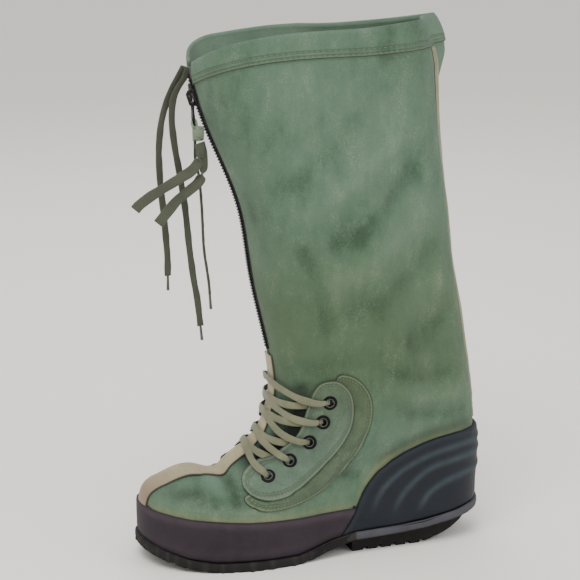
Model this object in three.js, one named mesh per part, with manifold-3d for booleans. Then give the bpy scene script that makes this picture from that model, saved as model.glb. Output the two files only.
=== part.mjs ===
// A tall canvas mukluk with a rubber bottom, the left boot of a pair.
// X runs from the toe to the heel, Y from the lateral to the medial side, Z up. Sizes are in millimetres.
import * as THREE from "three";
import { mergeVertices } from "three/addons/utils/BufferGeometryUtils.js";
import Module from "manifold-3d";

const wasm = await Module();
wasm.setup();

// Driving sizes of the boot
const LENGTH = 325; // rubber bottom from toe to heel
const BALL_WIDTH = 124; // over the outsole's edge at the ball
const INSTEP = 100; // height of the vamp's ridge where the lacing starts
const COLLAR = 480; // mean height of the collar
const TOE_SHIFT = 5; // how far the toe turns to the medial side
const SEAM_SHIFT = 20; // how far the slack back seam turns to the lateral side at the collar

// Sizes of the sole
const TOE_SPRING = 15;
const SOLE_EDGE = 8; // thickness of the forefoot's edge
const ARCH_RISE = 12;
const HEEL_TOP = 33; // height of the heel's flange at the back
const HEEL_PLATE = 7; // thickness of the flange under the heel
const HEEL_INSET = 9; // how far the heel block stands in from the flange
const HEEL_FRONT = 0.588 * LENGTH;
const HEEL_SWEEP = 20; // how far the heel's underside rises at the back
const LIP = 2.6; // how far the outsole stands out past the rubber sides
const LUG_DEPTH = 3;
const LUG_GROOVE = 4.5;
const LUG_PITCH = 13;
const INSOLE_EDGE = 5;

// Walls, sheets and the gap that curved pieces keep
const WALL = 2.8; // canvas with its lining
const GAP = 0.3;
const HEM_STEP = 1.2;
const RUBBER = 3.4; // foxing
const CUP = 3.8; // heel cup
const RIB_HEIGHT = 1.4;
const PATCH = 1.1;
const FLAP = 1.3;
const STRIP = 1.3; // vamp strip and back seam
const STRIP_WIDTH = 18;
const SEAM_WIDTH = 7;

// Lacing
const EYELET_HOLE = 3.1; // radius
const EYELET_FLANGE = 6.5; // radius
const EYELET_SHEET = 0.8;
const LACE_WIDTH = 7.5;
const LACE = 0.9;

// Zip
const SLIT = 11;
const TAPE_WIDTH = 30;
const TAPE = 0.9;
const CHAIN_WIDTH = 6.4;
const CHAIN = 2.6;
const TOOTH_PITCH = 10;

const HALF = BALL_WIDTH / 2;
const rise = (share) => (share < 1 ? share * INSTEP : INSTEP + (share - 1) * (COLLAR - INSTEP));

// The upper's sections, each a loop from a point on the front to one on the back, seen from the side.
// Lengths are shares of LENGTH, heights go from 0 to 1 at the instep and from 1 to 2 at the collar,
// widths are shares of half the ball width. droop lowers a section's sides, toe and seam are shares of
// TOE_SHIFT and SEAM_SHIFT, medial widens its medial side, and rows is the number of steps to the next.
const COLUMNS = [
  "name", "frontX", "frontZ", "backX", "backZ", "frontRound", "frontWidth", "midWidth",
  "backWidth", "backRound", "droop", "toe", "seam", "medial", "rows",
];
const SECTIONS = [
  ["seat", 0.020, 0.24, 0.980, 0.33, 0.290, 0.890, 0.700, 0.650, 0.135, 0.00, 1.0, 0.0, -0.12, 1],
  ["rubber top", 0.016, 0.58, 0.988, 0.76, 0.300, 0.885, 0.730, 0.640, 0.135, 0.12, 1.0, 0.0, -0.06, 2],
  ["toe cap", 0.045, 0.735, 0.986, 1.00, 0.310, 0.850, 0.750, 0.630, 0.135, 0.24, 0.9, 0.0, -0.03, 2],
  ["puff", 0.145, 0.822, 0.981, 1.060, 0.330, 0.830, 0.760, 0.610, 0.130, 0.27, 0.7, 0.0, 0.0, 2],
  ["vamp", 0.237, 0.895, 0.975, 1.108, 0.345, 0.820, 0.760, 0.590, 0.125, 0.27, 0.4, 0.0, 0.0, 2],
  ["throat", 0.320, 1.004, 0.963, 1.180, 0.330, 0.800, 0.760, 0.570, 0.120, 0.27, 0.2, 0.0, 0.0, 1],
  ["instep", 0.363, 1.047, 0.941, 1.287, 0.290, 0.750, 0.750, 0.550, 0.115, 0.20, 0.0, 0.0, 0.02, 2],
  ["ankle", 0.392, 1.165, 0.911, 1.440, 0.210, 0.730, 0.755, 0.530, 0.105, 0.09, 0.0, 0.0, 0.02, 2],
  ["lower shaft", 0.335, 1.400, 0.883, 1.620, 0.170, 0.740, 0.770, 0.550, 0.105, 0.00, 0.0, 0.0, 0.03, 1],
  ["mid shaft", 0.296, 1.590, 0.858, 1.765, 0.155, 0.740, 0.760, 0.540, 0.100, 0.00, 0.0, 0.1, 0.04, 2],
  ["upper shaft", 0.208, 1.776, 0.831, 1.900, 0.140, 0.740, 0.730, 0.520, 0.095, -0.06, 0.0, 0.4, 0.06, 1],
  ["hem", 0.173, 1.871, 0.817, 1.945, 0.125, 0.730, 0.700, 0.490, 0.088, -0.15, 0.0, 0.75, 0.10, 1],
  ["collar", 0.166, 1.920, 0.790, 2.013, 0.110, 0.725, 0.680, 0.460, 0.080, -0.17, 0.0, 1.0, 0.14, 0],
].map((row) => Object.fromEntries(COLUMNS.map((name, i) => [name, row[i]])));
const HEM = SECTIONS.findIndex((row) => row.name === "hem");

// Soft swellings and hollows: x as a share of LENGTH, y of half the ball width, z a rise,
// then the reach along each axis and the height, as shares of half the ball width.
// They move the wall outward, or the way that is given.
const DENTS = [
  { name: "toe puff", x: 0.125, y: 0.0, z: 0.88, reach: [0.24, 0.4, 0.3], height: 0.06 },
  { name: "ridge dip", x: 0.21, y: 0.0, z: 0.9, reach: [0.24, 0.5, 0.3], height: -0.14 },
  { name: "lateral hollow", x: 0.16, y: -0.75, z: 0.66, reach: [0.34, 0.25, 0.16], height: -0.06 },
  { name: "medial hollow", x: 0.16, y: 0.75, z: 0.66, reach: [0.34, 0.25, 0.16], height: -0.06 },
  { name: "throat hollow, lateral", x: 0.27, y: -0.38, z: 0.9, reach: [0.2, 0.2, 0.2], height: -0.05 },
  { name: "throat hollow, medial", x: 0.27, y: 0.38, z: 0.9, reach: [0.2, 0.2, 0.2], height: -0.05 },
  { name: "slack fold", x: 0.79, y: 0.16, z: 2.02, reach: [0.6, 0.27, 1.1], height: 0.6, way: [1, 0, 0] },
  { name: "medial rim", x: 0.45, y: 0.66, z: 2.04, reach: [1.7, 0.5, 0.7], height: 0.11, way: [0, 0, -1] },
];

// The columns of a section: steps round the front, along the side and round the back, on each side.
const FRONT_STEPS = 7;
const SIDE_STEPS = 4;
const BACK_STEPS = 5;
const HALF_STEPS = FRONT_STEPS + SIDE_STEPS + BACK_STEPS;
const AROUND = 2 * HALF_STEPS;
const SQUARENESS = 2.25; // of the toe and the other round ends: 2 is an ellipse
const DROOP_CURVE = 1.1; // 1 makes a section a gable, 2 an arch
// Along a section, from its front at 0 to its back at 1
const TOE_END = 0.4; // where the toe's turn ends
const SEAM_START = 0.375; // where the seam's turn starts
const FLAT_START = 0.214; // from here a section's sides droop less and less
const FLAT_REACH = 0.714;
const BACK_FLATNESS = 0.75;

// A smooth curve through knots (xs, ys), with slopes taken from the neighbours.
function smooth(xs, ys, x) {
  let i = 0;
  while (i < xs.length - 2 && x > xs[i + 1]) i++;
  const slope = (k) => {
    const a = Math.max(k - 1, 0);
    const b = Math.min(k + 1, xs.length - 1);
    return (ys[b] - ys[a]) / (xs[b] - xs[a]);
  };
  const h = xs[i + 1] - xs[i];
  const t = Math.min(Math.max((x - xs[i]) / h, 0), 1);
  const u = 1 - t;
  return (
    ys[i] * (1 + 2 * t) * u * u + ys[i + 1] * (3 - 2 * t) * t * t +
    h * t * u * (slope(i) * u - slope(i + 1) * t)
  );
}
const fade = (t) => {
  const k = Math.min(Math.max(t, 0), 1);
  return k * k * (3 - 2 * k);
};

// The outsole from the side: where its tread, the plate's underside and the top edge are along the foot.
// x is a share of LENGTH. The plate and the tread part at the heel, whose block is narrower.
const SOLE_COLUMNS = { tread: 1, plate: 2, top: 3 };
const SOLE = [
  [0.0, TOE_SPRING, TOE_SPRING, TOE_SPRING + 1.1 * SOLE_EDGE],
  [0.05, 0.6 * TOE_SPRING, 0.6 * TOE_SPRING, 0.6 * TOE_SPRING + 1.05 * SOLE_EDGE],
  [0.11, 0.22 * TOE_SPRING, 0.22 * TOE_SPRING, 0.22 * TOE_SPRING + SOLE_EDGE],
  [0.185, 0, 0, SOLE_EDGE],
  [0.42, 0, 0, SOLE_EDGE],
  [0.46, 0.25 * ARCH_RISE, 0.25 * ARCH_RISE, 0.25 * ARCH_RISE + SOLE_EDGE],
  [0.51, 0.7 * ARCH_RISE, 0.7 * ARCH_RISE, 0.7 * ARCH_RISE + 0.9 * SOLE_EDGE],
  [0.555, ARCH_RISE, ARCH_RISE, ARCH_RISE + 0.8 * SOLE_EDGE],
  [0.588, 0, ARCH_RISE + 0.3 * HEEL_PLATE, 0.64 * HEEL_TOP],
  [0.73, 0, 0.68 * HEEL_TOP - HEEL_PLATE, 0.68 * HEEL_TOP],
  [0.8, 0, 0.73 * HEEL_TOP - HEEL_PLATE, 0.73 * HEEL_TOP],
  [0.865, 0.33 * HEEL_SWEEP, 0.85 * HEEL_TOP - HEEL_PLATE, 0.85 * HEEL_TOP],
  [0.94, 0.9 * HEEL_SWEEP, 0.96 * HEEL_TOP - HEEL_PLATE, 0.96 * HEEL_TOP],
  [1.0, HEEL_SWEEP, HEEL_TOP - HEEL_PLATE, HEEL_TOP],
];
function along(name, x) {
  const share = x / LENGTH;
  const k = SOLE_COLUMNS[name];
  let i = 0;
  while (i < SOLE.length - 2 && share > SOLE[i + 1][0]) i++;
  const t = Math.min(Math.max((share - SOLE[i][0]) / (SOLE[i + 1][0] - SOLE[i][0]), 0), 1);
  return SOLE[i][k] * (1 - t) + SOLE[i + 1][k] * t;
}
const soleTop = (x) => along("top", x);

// The rows of the form: a parameter that is whole at each section of the table.
const KNOTS = SECTIONS.map((_, i) => i);
const column = (name, t) => smooth(KNOTS, SECTIONS.map((row) => row[name]), t);
const ROWS = SECTIONS.flatMap((row, i) => {
  const steps = Array.from({ length: row.rows }, (_, k) => i + k / row.rows);
  return i === HEM ? [HEM - 0.01, ...steps] : steps;
});
ROWS.push(SECTIONS.length - 1);

// A point of the upper's outside, before its dents. v is 0 at the front and 1 at the back.
function bare(t, v, side) {
  const front = new THREE.Vector2(column("frontX", t) * LENGTH, rise(column("frontZ", t)));
  const back = new THREE.Vector2(column("backX", t) * LENGTH, rise(column("backZ", t)));
  const long = back.clone().sub(front).length();
  const frontRound = column("frontRound", t) * LENGTH;
  const backRound = column("backRound", t) * LENGTH;
  const [frontWidth, midWidth, backWidth] = ["frontWidth", "midWidth", "backWidth"].map(
    (name) => column(name, t) * HALF,
  );
  const mid = side > 0 ? midWidth * (1 + column("medial", t)) : midWidth;
  const power = 2 / SQUARENESS;
  const step = v * HALF_STEPS;
  let s, w;
  if (step <= FRONT_STEPS) {
    const a = ((step / FRONT_STEPS) * Math.PI) / 2;
    s = frontRound * (1 - Math.cos(a) ** power);
    w = frontWidth * Math.sin(a) ** power;
  } else if (step < FRONT_STEPS + SIDE_STEPS) {
    const k = (step - FRONT_STEPS) / SIDE_STEPS;
    s = frontRound + k * (long - frontRound - backRound);
    w = k < 0.5 ? frontWidth + (mid - frontWidth) * fade(2 * k) : mid + (backWidth - mid) * fade(2 * k - 1);
  } else {
    const a = (((HALF_STEPS - step) / BACK_STEPS) * Math.PI) / 2;
    s = long - backRound * (1 - Math.cos(a) ** power);
    w = backWidth * Math.sin(a) ** power;
  }
  const share = s / long;
  const x = front.x + (back.x - front.x) * share;
  const toeTurn = column("toe", t) * TOE_SHIFT * (1 - fade(share / TOE_END));
  const seamTurn = column("seam", t) * SEAM_SHIFT * fade((share - SEAM_START) / (1 - SEAM_START));
  const backShare = fade((share - FLAT_START) / FLAT_REACH);
  const arch = (w / frontWidth) ** DROOP_CURVE * (1 - BACK_FLATNESS * backShare);
  const droop = column("droop", t) * INSTEP * arch;
  const level = front.y + (back.y - front.y) * share;
  const onSole = (soleTop(x) + GAP - level) * Math.max(0, 1 - t) ** 2;
  return new THREE.Vector3(x, side * w + toeTurn - seamTurn, level - droop + onSole);
}

const gridOf = (point) =>
  ROWS.map((t) =>
    Array.from({ length: AROUND }, (_, j) =>
      j <= HALF_STEPS ? point(t, j / HALF_STEPS, -1) : point(t, (AROUND - j) / HALF_STEPS, 1),
    ),
  );
function normalsOf(grid) {
  return grid.map((row, i) =>
    row.map((_, j) => {
      const up = grid[Math.min(i + 1, grid.length - 1)][j].clone().sub(grid[Math.max(i - 1, 0)][j]);
      const round = row[(j + 1) % AROUND].clone().sub(row[(j + AROUND - 1) % AROUND]);
      return round.cross(up).normalize();
    }),
  );
}
const bareGrid = gridOf(bare);
const bareNormals = normalsOf(bareGrid);
const GRID = bareGrid.map((row, i) =>
  row.map((p, j) => {
    const moved = p.clone();
    for (const dent of DENTS) {
      const d = [p.x - dent.x * LENGTH, p.y - dent.y * HALF, p.z - rise(dent.z)];
      const far = d.reduce((sum, value, k) => sum + (value / (dent.reach[k] * HALF)) ** 2, 0);
      const way = dent.way ? new THREE.Vector3(...dent.way) : bareNormals[i][j];
      moved.addScaledVector(way, dent.height * HALF * Math.exp(-far));
    }
    return moved;
  }),
);
const NORMALS = normalsOf(GRID);

// A mesh from rings of points, each ring joined to the next, with caps that join its left and right.
function skin(rings, { closed = false, caps = true } = {}) {
  const n = rings[0].length;
  const half = n / 2;
  const points = rings.flat().flatMap((p) => [p.x, p.y, p.z]);
  const faces = [];
  const quad = (a, b, c, d) => faces.push(a, b, c, a, c, d);
  const last = closed ? rings.length : rings.length - 1;
  for (let i = 0; i < last; i++)
    for (let j = 0; j < n; j++) {
      const k = (j + 1) % n;
      const next = ((i + 1) % rings.length) * n;
      quad(i * n + j, i * n + k, next + k, next + j);
    }
  if (caps && !closed)
    for (const [ring, up] of [[0, false], [rings.length - 1, true]])
      for (let j = 0; j < half; j++) {
        const [a, b] = [ring * n + j, ring * n + j + 1];
        const [c, d] = [ring * n + ((n - j - 1) % n), ring * n + ((n - j) % n)];
        const corners = up ? [a, b, c, d] : [d, c, b, a];
        if (j === 0) faces.push(...(up ? [a, b, c] : [c, b, a]));
        else if (j === half - 1) faces.push(...(up ? [a, b, d] : [d, b, a]));
        else quad(...corners);
      }
  const geometry = new THREE.BufferGeometry();
  geometry.setAttribute("position", new THREE.Float32BufferAttribute(points, 3));
  geometry.setIndex(faces);
  return geometry;
}
function solid(geometry) {
  const clean = geometry.clone();
  clean.deleteAttribute("normal");
  clean.deleteAttribute("uv");
  const merged = mergeVertices(clean, 1e-4);
  return new wasm.Manifold(
    new wasm.Mesh({
      numProp: 3,
      vertProperties: merged.attributes.position.array,
      triVerts: new Uint32Array(merged.index.array),
    }),
  );
}
const FLAT = 0.03; // faces that are this flat together are joined
function geometryOf(manifold) {
  const mesh = manifold.simplify(FLAT).getMesh();
  const geometry = new THREE.BufferGeometry();
  geometry.setAttribute("position", new THREE.BufferAttribute(new Float32Array(mesh.vertProperties), 3));
  geometry.setIndex(new THREE.BufferAttribute(new Uint32Array(mesh.triVerts), 1));
  return geometry;
}
// Prisms that cut pieces out, drawn from the side or from the back.
function prism(points, from, to, turn) {
  const shape = new THREE.Shape(points.map(([a, b]) => new THREE.Vector2(a, b)));
  const geometry = new THREE.ExtrudeGeometry(shape, { depth: to - from, bevelEnabled: false });
  geometry.translate(0, 0, from);
  return solid(geometry.applyMatrix4(turn));
}
const SIDE_VIEW = new THREE.Matrix4().makeBasis(
  new THREE.Vector3(1, 0, 0), new THREE.Vector3(0, 0, 1), new THREE.Vector3(0, -1, 0),
);
const BACK_VIEW = new THREE.Matrix4().makeBasis(
  new THREE.Vector3(0, 1, 0), new THREE.Vector3(0, 0, 1), new THREE.Vector3(1, 0, 0),
);
// A prism seen from the side, from one depth to another, counted towards the lateral side.
const fromSide = (points, from = -BALL_WIDTH, to = BALL_WIDTH) => prism(points, from, to, SIDE_VIEW);
// One of the outsole's lines seen from the side, raised a little, with what lies above or below it.
function soleLine(name, up) {
  const line = SOLE.map((row) => [row[0] * LENGTH, row[SOLE_COLUMNS[name]] + up]);
  return [[-LENGTH, line[0][1]], ...line, [2 * LENGTH, line[line.length - 1][1]]];
}
const above = (name, up = 0) =>
  fromSide([...soleLine(name, up), [2 * LENGTH, 2 * COLLAR], [-LENGTH, 2 * COLLAR]]);
const below = (name, up = 0) =>
  fromSide([[-LENGTH, -COLLAR], ...soleLine(name, up), [2 * LENGTH, -COLLAR]]);
const SEAT = above("top", GAP);

const ringAt = (i, offset) => GRID[i].map((p, j) => p.clone().addScaledVector(NORMALS[i][j], offset));
const forms = new Map();
const lowered = (ring, down) => ring.map((p) => p.clone().setZ(p.z - down));
// The closed form at an offset, standing on the sole. One that cuts runs on past both ends.
function form(offset, cuts = false) {
  const key = `${offset} ${cuts}`;
  if (!forms.has(key)) {
    const rings = ROWS.map((_, i) => ringAt(i, offset));
    rings.unshift(lowered(rings[0], INSTEP));
    if (cuts) rings.push(lowered(rings[rings.length - 1], -INSTEP));
    forms.set(key, cuts ? solid(skin(rings)) : solid(skin(rings)).intersect(SEAT));
  }
  return forms.get(key);
}

const SIDES = { lateral: -1, medial: 1 };
// A smooth closed outline through a few points.
const rounded = (points, steps) =>
  new THREE.SplineCurve([...points, points[0]].map(([a, b]) => new THREE.Vector2(a, b)))
    .getPoints(steps).slice(0, -1).map((p) => [p.x, p.y]);
const overlay = (low, high, cutter) => form(high).subtract(form(low, true)).intersect(cutter);

// The sheets over the upper, from the inside out
const STRIP_LOW = GAP;
const STRIP_HIGH = STRIP_LOW + STRIP;
const PATCH_HIGH = GAP + PATCH;
const FLAP_LOW = PATCH_HIGH + 2.5 * GAP;
const FLAP_HIGH = FLAP_LOW + FLAP;
const EYELET_LOW = FLAP_HIGH + 3.5 * GAP;
const EYELET_HIGH = EYELET_LOW + EYELET_SHEET;

const group = new THREE.Group();
const finish = {
  canvas: { color: 0x6f9479, roughness: 0.95, metalness: 0 },
  binding: { color: 0xa9a58c, roughness: 0.95, metalness: 0 },
  rubber: { color: 0x2c2930, roughness: 0.75, metalness: 0 },
  cord: { color: 0x5e6352, roughness: 0.9, metalness: 0 },
  metal: { color: 0x17171a, roughness: 0.4, metalness: 0.8 },
  tape: { color: 0x1b1c1c, roughness: 0.9, metalness: 0 },
  lace: { color: 0x8f9078, roughness: 0.9, metalness: 0 },
  lining: { color: 0x8c8b7c, roughness: 1, metalness: 0 },
};
const materials = Object.fromEntries(
  Object.entries(finish).map(([name, values]) => [name, new THREE.MeshStandardMaterial(values)]),
);
function add(name, material, shape, parent = group) {
  const mesh = new THREE.Mesh(shape.isBufferGeometry ? shape : geometryOf(shape), materials[material]);
  mesh.name = name;
  parent.add(mesh);
  return mesh;
}

// The zip runs up the front of the shaft. A point of that line at a height, with its outward normal.
function front(z) {
  let i = ROWS.length - 2;
  while (i > 0 && GRID[i][0].z > z) i--;
  const [a, b] = [GRID[i][0], GRID[i + 1][0]];
  const t = (z - a.z) / (b.z - a.z);
  const normal = new THREE.Vector3(a.z - b.z, 0, b.x - a.x).normalize();
  return { p: new THREE.Vector3(a.x + (b.x - a.x) * t, 0, z), normal };
}
// A bar with a four-sided section along a path of { p, normal, width, low, high }.
function bar(path) {
  return skin(
    path.map(({ p, normal, width, low, high }, i) => {
      const next = path[Math.min(i + 1, path.length - 1)].p;
      const across = next.clone().sub(path[Math.max(i - 1, 0)].p).cross(normal).normalize();
      return [[low, -1], [high, -1], [high, 1], [low, 1]].map(([h, w]) =>
        p.clone().addScaledVector(normal, h).addScaledVector(across, (w * width) / 2),
      );
    }),
  );
}
const evenly = (from, to, count) =>
  Array.from({ length: count + 1 }, (_, i) => from + ((to - from) * i) / count);

// Upper: one hollow solid, open at the collar, underneath and along the zip's slit
const ZIP_FOOT = rise(1.232);
const ZIP_HEAD = rise(1.893);
const SLIT_TOP = [rise(1.97), rise(2.1)]; // the slit runs out through the collar
const slitPath = [...evenly(ZIP_FOOT, rise(1.9), 16), ...SLIT_TOP].map((z) => ({
  ...front(z), width: SLIT, low: -3 * WALL, high: 4 * WALL,
}));
const wall = skin([
  lowered(ringAt(0, 0), INSTEP),
  ...ROWS.map((t, i) => ringAt(i, t >= HEM ? HEM_STEP : 0)),
  ...ROWS.map((_, i) => ringAt(i, -WALL)).reverse(),
  lowered(ringAt(0, -WALL), INSTEP),
], { closed: true });
const slitCutter = solid(bar(slitPath));
add("upper", "canvas", solid(wall).intersect(SEAT).subtract(slitCutter));

// Outsole: a plate under the whole foot, a heel block set in from it, and grooves between the lugs
const outline = (offset) => GRID[0].map((p, j) => {
  const n = NORMALS[0][j].clone().setZ(0).normalize();
  return p.clone().addScaledVector(n, offset);
});
const slab = (offset) => solid(skin([-1, 2 * HEEL_TOP].map((z) => outline(offset).map((p) => p.setZ(z)))));
const SOLE_OUT = GAP + RUBBER + LIP;
const plate = slab(SOLE_OUT).intersect(above("plate")).intersect(below("top"));
const HEEL_AREA = [
  [HEEL_FRONT, -1], [1.1 * LENGTH, -1], [1.1 * LENGTH, 2 * HEEL_TOP], [HEEL_FRONT, 2 * HEEL_TOP],
];
const block = slab(SOLE_OUT - HEEL_INSET)
  .intersect(above("tread"))
  .intersect(below("top", -1))
  .intersect(fromSide(HEEL_AREA));
const grooveAt = (x, from, to) => {
  const [low, high] = [along("tread", x) - LUG_DEPTH, along("tread", x) + LUG_DEPTH];
  const [left, right] = [x - LUG_GROOVE / 2, x + LUG_GROOVE / 2];
  return fromSide([[left, low], [right, low], [right, high], [left, high]], from, to);
};
const LUG_RIB = 9; // the uncut rib along the middle of the tread
let outsole = plate.add(block);
const TREADS = [[0.07 * LENGTH, 0.44 * LENGTH], [HEEL_FRONT + LUG_PITCH, 0.8 * LENGTH]];
for (const [start, end] of TREADS)
  for (const x of evenly(start, end, Math.round((end - start) / LUG_PITCH)))
    for (const [from, to] of [[-BALL_WIDTH, -LUG_RIB / 2], [LUG_RIB / 2, BALL_WIDTH]])
      outsole = outsole.subtract(grooveAt(x, from, to));
add("outsole", "rubber", outsole);
add("insole", "lining", slab(-WALL - GAP).intersect(SEAT).intersect(below("top", GAP + INSOLE_EDGE)));

// Rubber sides: the foxing round the forefoot, and the heel cup with its moulded ribs.
// They meet at a slanting joint. x is a share of LENGTH and z of the cup's height.
const CUP_TOP = 104;
const sideOutline = (points) => points.map(([x, z]) => [x * LENGTH, z * CUP_TOP]);
const FOXING_TOP = [
  [-0.05, 0.575], [0.0, 0.56], [0.035, 0.508], [0.12, 0.466], [0.275, 0.428], [0.43, 0.412], [0.575, 0.42],
];
const JOINT = [[0.594, 0.437], [0.583, 0.358], [0.568, 0.267], [0.552, 0.2], [0.54, -0.2]];
const CUP_EDGE = [
  [1.1, 1.0], [1.0, 1.0], [0.95, 1.01], [0.895, 1.005], [0.849, 0.985], [0.786, 0.945],
  [0.724, 0.892], [0.679, 0.832], [0.644, 0.749], [0.619, 0.634], [0.602, 0.516],
];
const joint = (side) => sideOutline(JOINT).map(([x, z]) => [x + (side * GAP) / 2, z]);
const foxingShape = fromSide([...sideOutline(FOXING_TOP), ...joint(-1), ...sideOutline([[-0.05, -0.2]])]);
add("foxing", "rubber", overlay(GAP, GAP + RUBBER, foxingShape));
const cupShape = fromSide([...sideOutline(CUP_EDGE), ...joint(1), ...sideOutline([[1.1, -0.2]])]);
const RIBS = [
  // the middle line of each rib, from low at the front to high at the back
  [[0.632, 0.3], [0.648, 0.47], [0.677, 0.62], [0.75, 0.772], [0.895, 0.89], [1.04, 0.905]],
  [[0.7, 0.28], [0.722, 0.477], [0.76, 0.6], [0.818, 0.718], [0.945, 0.795], [1.04, 0.8]],
  [[0.775, 0.28], [0.8, 0.44], [0.845, 0.55], [0.92, 0.63], [1.04, 0.655]],
];
const RIB_WIDTH = 5;
function ribShape(points) {
  const curve = new THREE.SplineCurve(sideOutline(points).map(([x, z]) => new THREE.Vector2(x, z)));
  const edge = (out) => evenly(0, 1, 5).map((t) => {
    const [p, ahead] = [curve.getPoint(t), curve.getTangent(t)];
    return [p.x - ahead.y * out, p.y + ahead.x * out];
  });
  return fromSide([...edge(RIB_WIDTH / 2), ...edge(-RIB_WIDTH / 2).reverse()]);
}
let cup = overlay(GAP, GAP + CUP, cupShape);
for (const rib of RIBS) cup = cup.add(overlay(GAP + CUP / 2, GAP + CUP + RIB_HEIGHT, ribShape(rib)));
add("heel_cup", "rubber", cup);

// Centre strip over the vamp's ridge up to the zip, and the piping up the back seam
const STRIP_FOOT = 0.602 * INSTEP;
const STRIP_HEAD = ZIP_FOOT - 1.5;
const stripShape = fromSide([
  [-0.1 * LENGTH, STRIP_FOOT], [0.5 * LENGTH, STRIP_FOOT],
  [0.5 * LENGTH, STRIP_HEAD], [-0.1 * LENGTH, STRIP_HEAD],
], -STRIP_WIDTH / 2, STRIP_WIDTH / 2);
add("vamp_strip", "binding", overlay(STRIP_LOW, STRIP_HIGH, stripShape));
const backColumn = ROWS.map((t, i) => ({ t, p: GRID[i][HALF_STEPS] }))
  .filter(({ t, p }) => t < HEM - 0.3 && p.z > CUP_TOP + 1);
const seamBand = (side) => [
  [backColumn[0].p.y + (side * SEAM_WIDTH) / 2, CUP_TOP + 1],
  ...backColumn.map(({ p }) => [p.y + (side * SEAM_WIDTH) / 2, p.z]),
];
const seamOutline = [...seamBand(1), ...seamBand(-1).reverse()];
const seamShape = prism(seamOutline, 0.7 * LENGTH, 1.1 * LENGTH, BACK_VIEW);
add("back_seam", "binding", overlay(STRIP_LOW, STRIP_HIGH, seamShape));

// Instep: on each side an outer patch, an eyelet flap on it, and five eyelets. z is a share of INSTEP.
const PATCH_OUTLINE = [
  [0.535, 1.70], [0.564, 1.715], [0.598, 1.658], [0.627, 1.541], [0.638, 1.401], [0.631, 1.24],
  [0.605, 1.057], [0.552, 0.841], [0.486, 0.651], [0.405, 0.553], [0.328, 0.531], [0.289, 0.567],
  [0.27, 0.617], [0.285, 0.67], [0.35, 0.74], [0.42, 0.87], [0.48, 1.05], [0.51, 1.26], [0.518, 1.5],
].map(([x, z]) => [x * LENGTH, z * INSTEP]);
const FLAP_OUTLINE = [
  [0.469, 1.539], [0.491, 1.651], [0.531, 1.674], [0.56, 1.613], [0.579, 1.512], [0.583, 1.36],
  [0.572, 1.2], [0.538, 1.029], [0.48, 0.837], [0.412, 0.681], [0.352, 0.621], [0.305, 0.624],
  [0.279, 0.684], [0.278, 0.751], [0.295, 0.815], [0.326, 0.886], [0.383, 0.989], [0.435, 1.177],
  [0.455, 1.37],
].map(([x, z]) => [x * LENGTH, z * INSTEP]);
const EYELETS = [
  [0.516, 1.469], [0.498, 1.289], [0.4625, 1.101], [0.4095, 0.929], [0.3465, 0.79],
].map(([x, z]) => [x * LENGTH, z * INSTEP]);

// A point on the form by row and column, both of which may be fractions. Columns below 0 are medial.
function onForm(row, at, offset = 0) {
  const [i, j] = [Math.min(Math.floor(row), ROWS.length - 2), Math.floor(at)];
  const [a, b] = [row - i, at - j];
  const mix = (grid) => {
    const pick = (r, c) => grid[r][((c % AROUND) + AROUND) % AROUND];
    return pick(i, j).clone().multiplyScalar((1 - a) * (1 - b))
      .addScaledVector(pick(i + 1, j), a * (1 - b))
      .addScaledVector(pick(i, j + 1), (1 - a) * b)
      .addScaledVector(pick(i + 1, j + 1), a * b);
  };
  const normal = mix(NORMALS).normalize();
  return { p: mix(GRID).addScaledVector(normal, offset), normal };
}
// The row and column of the point that is seen from the side at (x, z).
function find(x, z, side) {
  let best = { row: ROWS.length / 2, at: HALF_STEPS / 2, far: Infinity };
  for (const [step, reach] of [[0.5, 40], [0.1, 6], [0.02, 6], [0.005, 5]]) {
    const { row, at } = best;
    for (let i = -reach; i <= reach; i++)
      for (let j = -reach; j <= reach; j++) {
        const [r, c] = [row + i * step, at + j * step];
        if (r < 0 || r > ROWS.length - 1 || c < 0 || c > HALF_STEPS) continue;
        const { p } = onForm(r, side < 0 ? c : -c);
        const far = (p.x - x) ** 2 + (p.z - z) ** 2;
        if (far < best.far) best = { row: r, at: c, far };
      }
  }
  return { row: best.row, at: side < 0 ? best.at : -best.at };
}
const BARREL = EYELET_HOLE + 0.7; // outer radius of an eyelet's barrel
const eyeletProfile = [
  [EYELET_HOLE, FLAP_LOW], [BARREL, FLAP_LOW], [BARREL, EYELET_LOW], [EYELET_FLANGE, EYELET_LOW],
  [EYELET_FLANGE - 0.5, EYELET_HIGH], [EYELET_HOLE, EYELET_HIGH], [EYELET_HOLE, FLAP_LOW],
].map(([r, h]) => new THREE.Vector2(r, h));
const ROUND = 8;
const spots = {};
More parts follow.
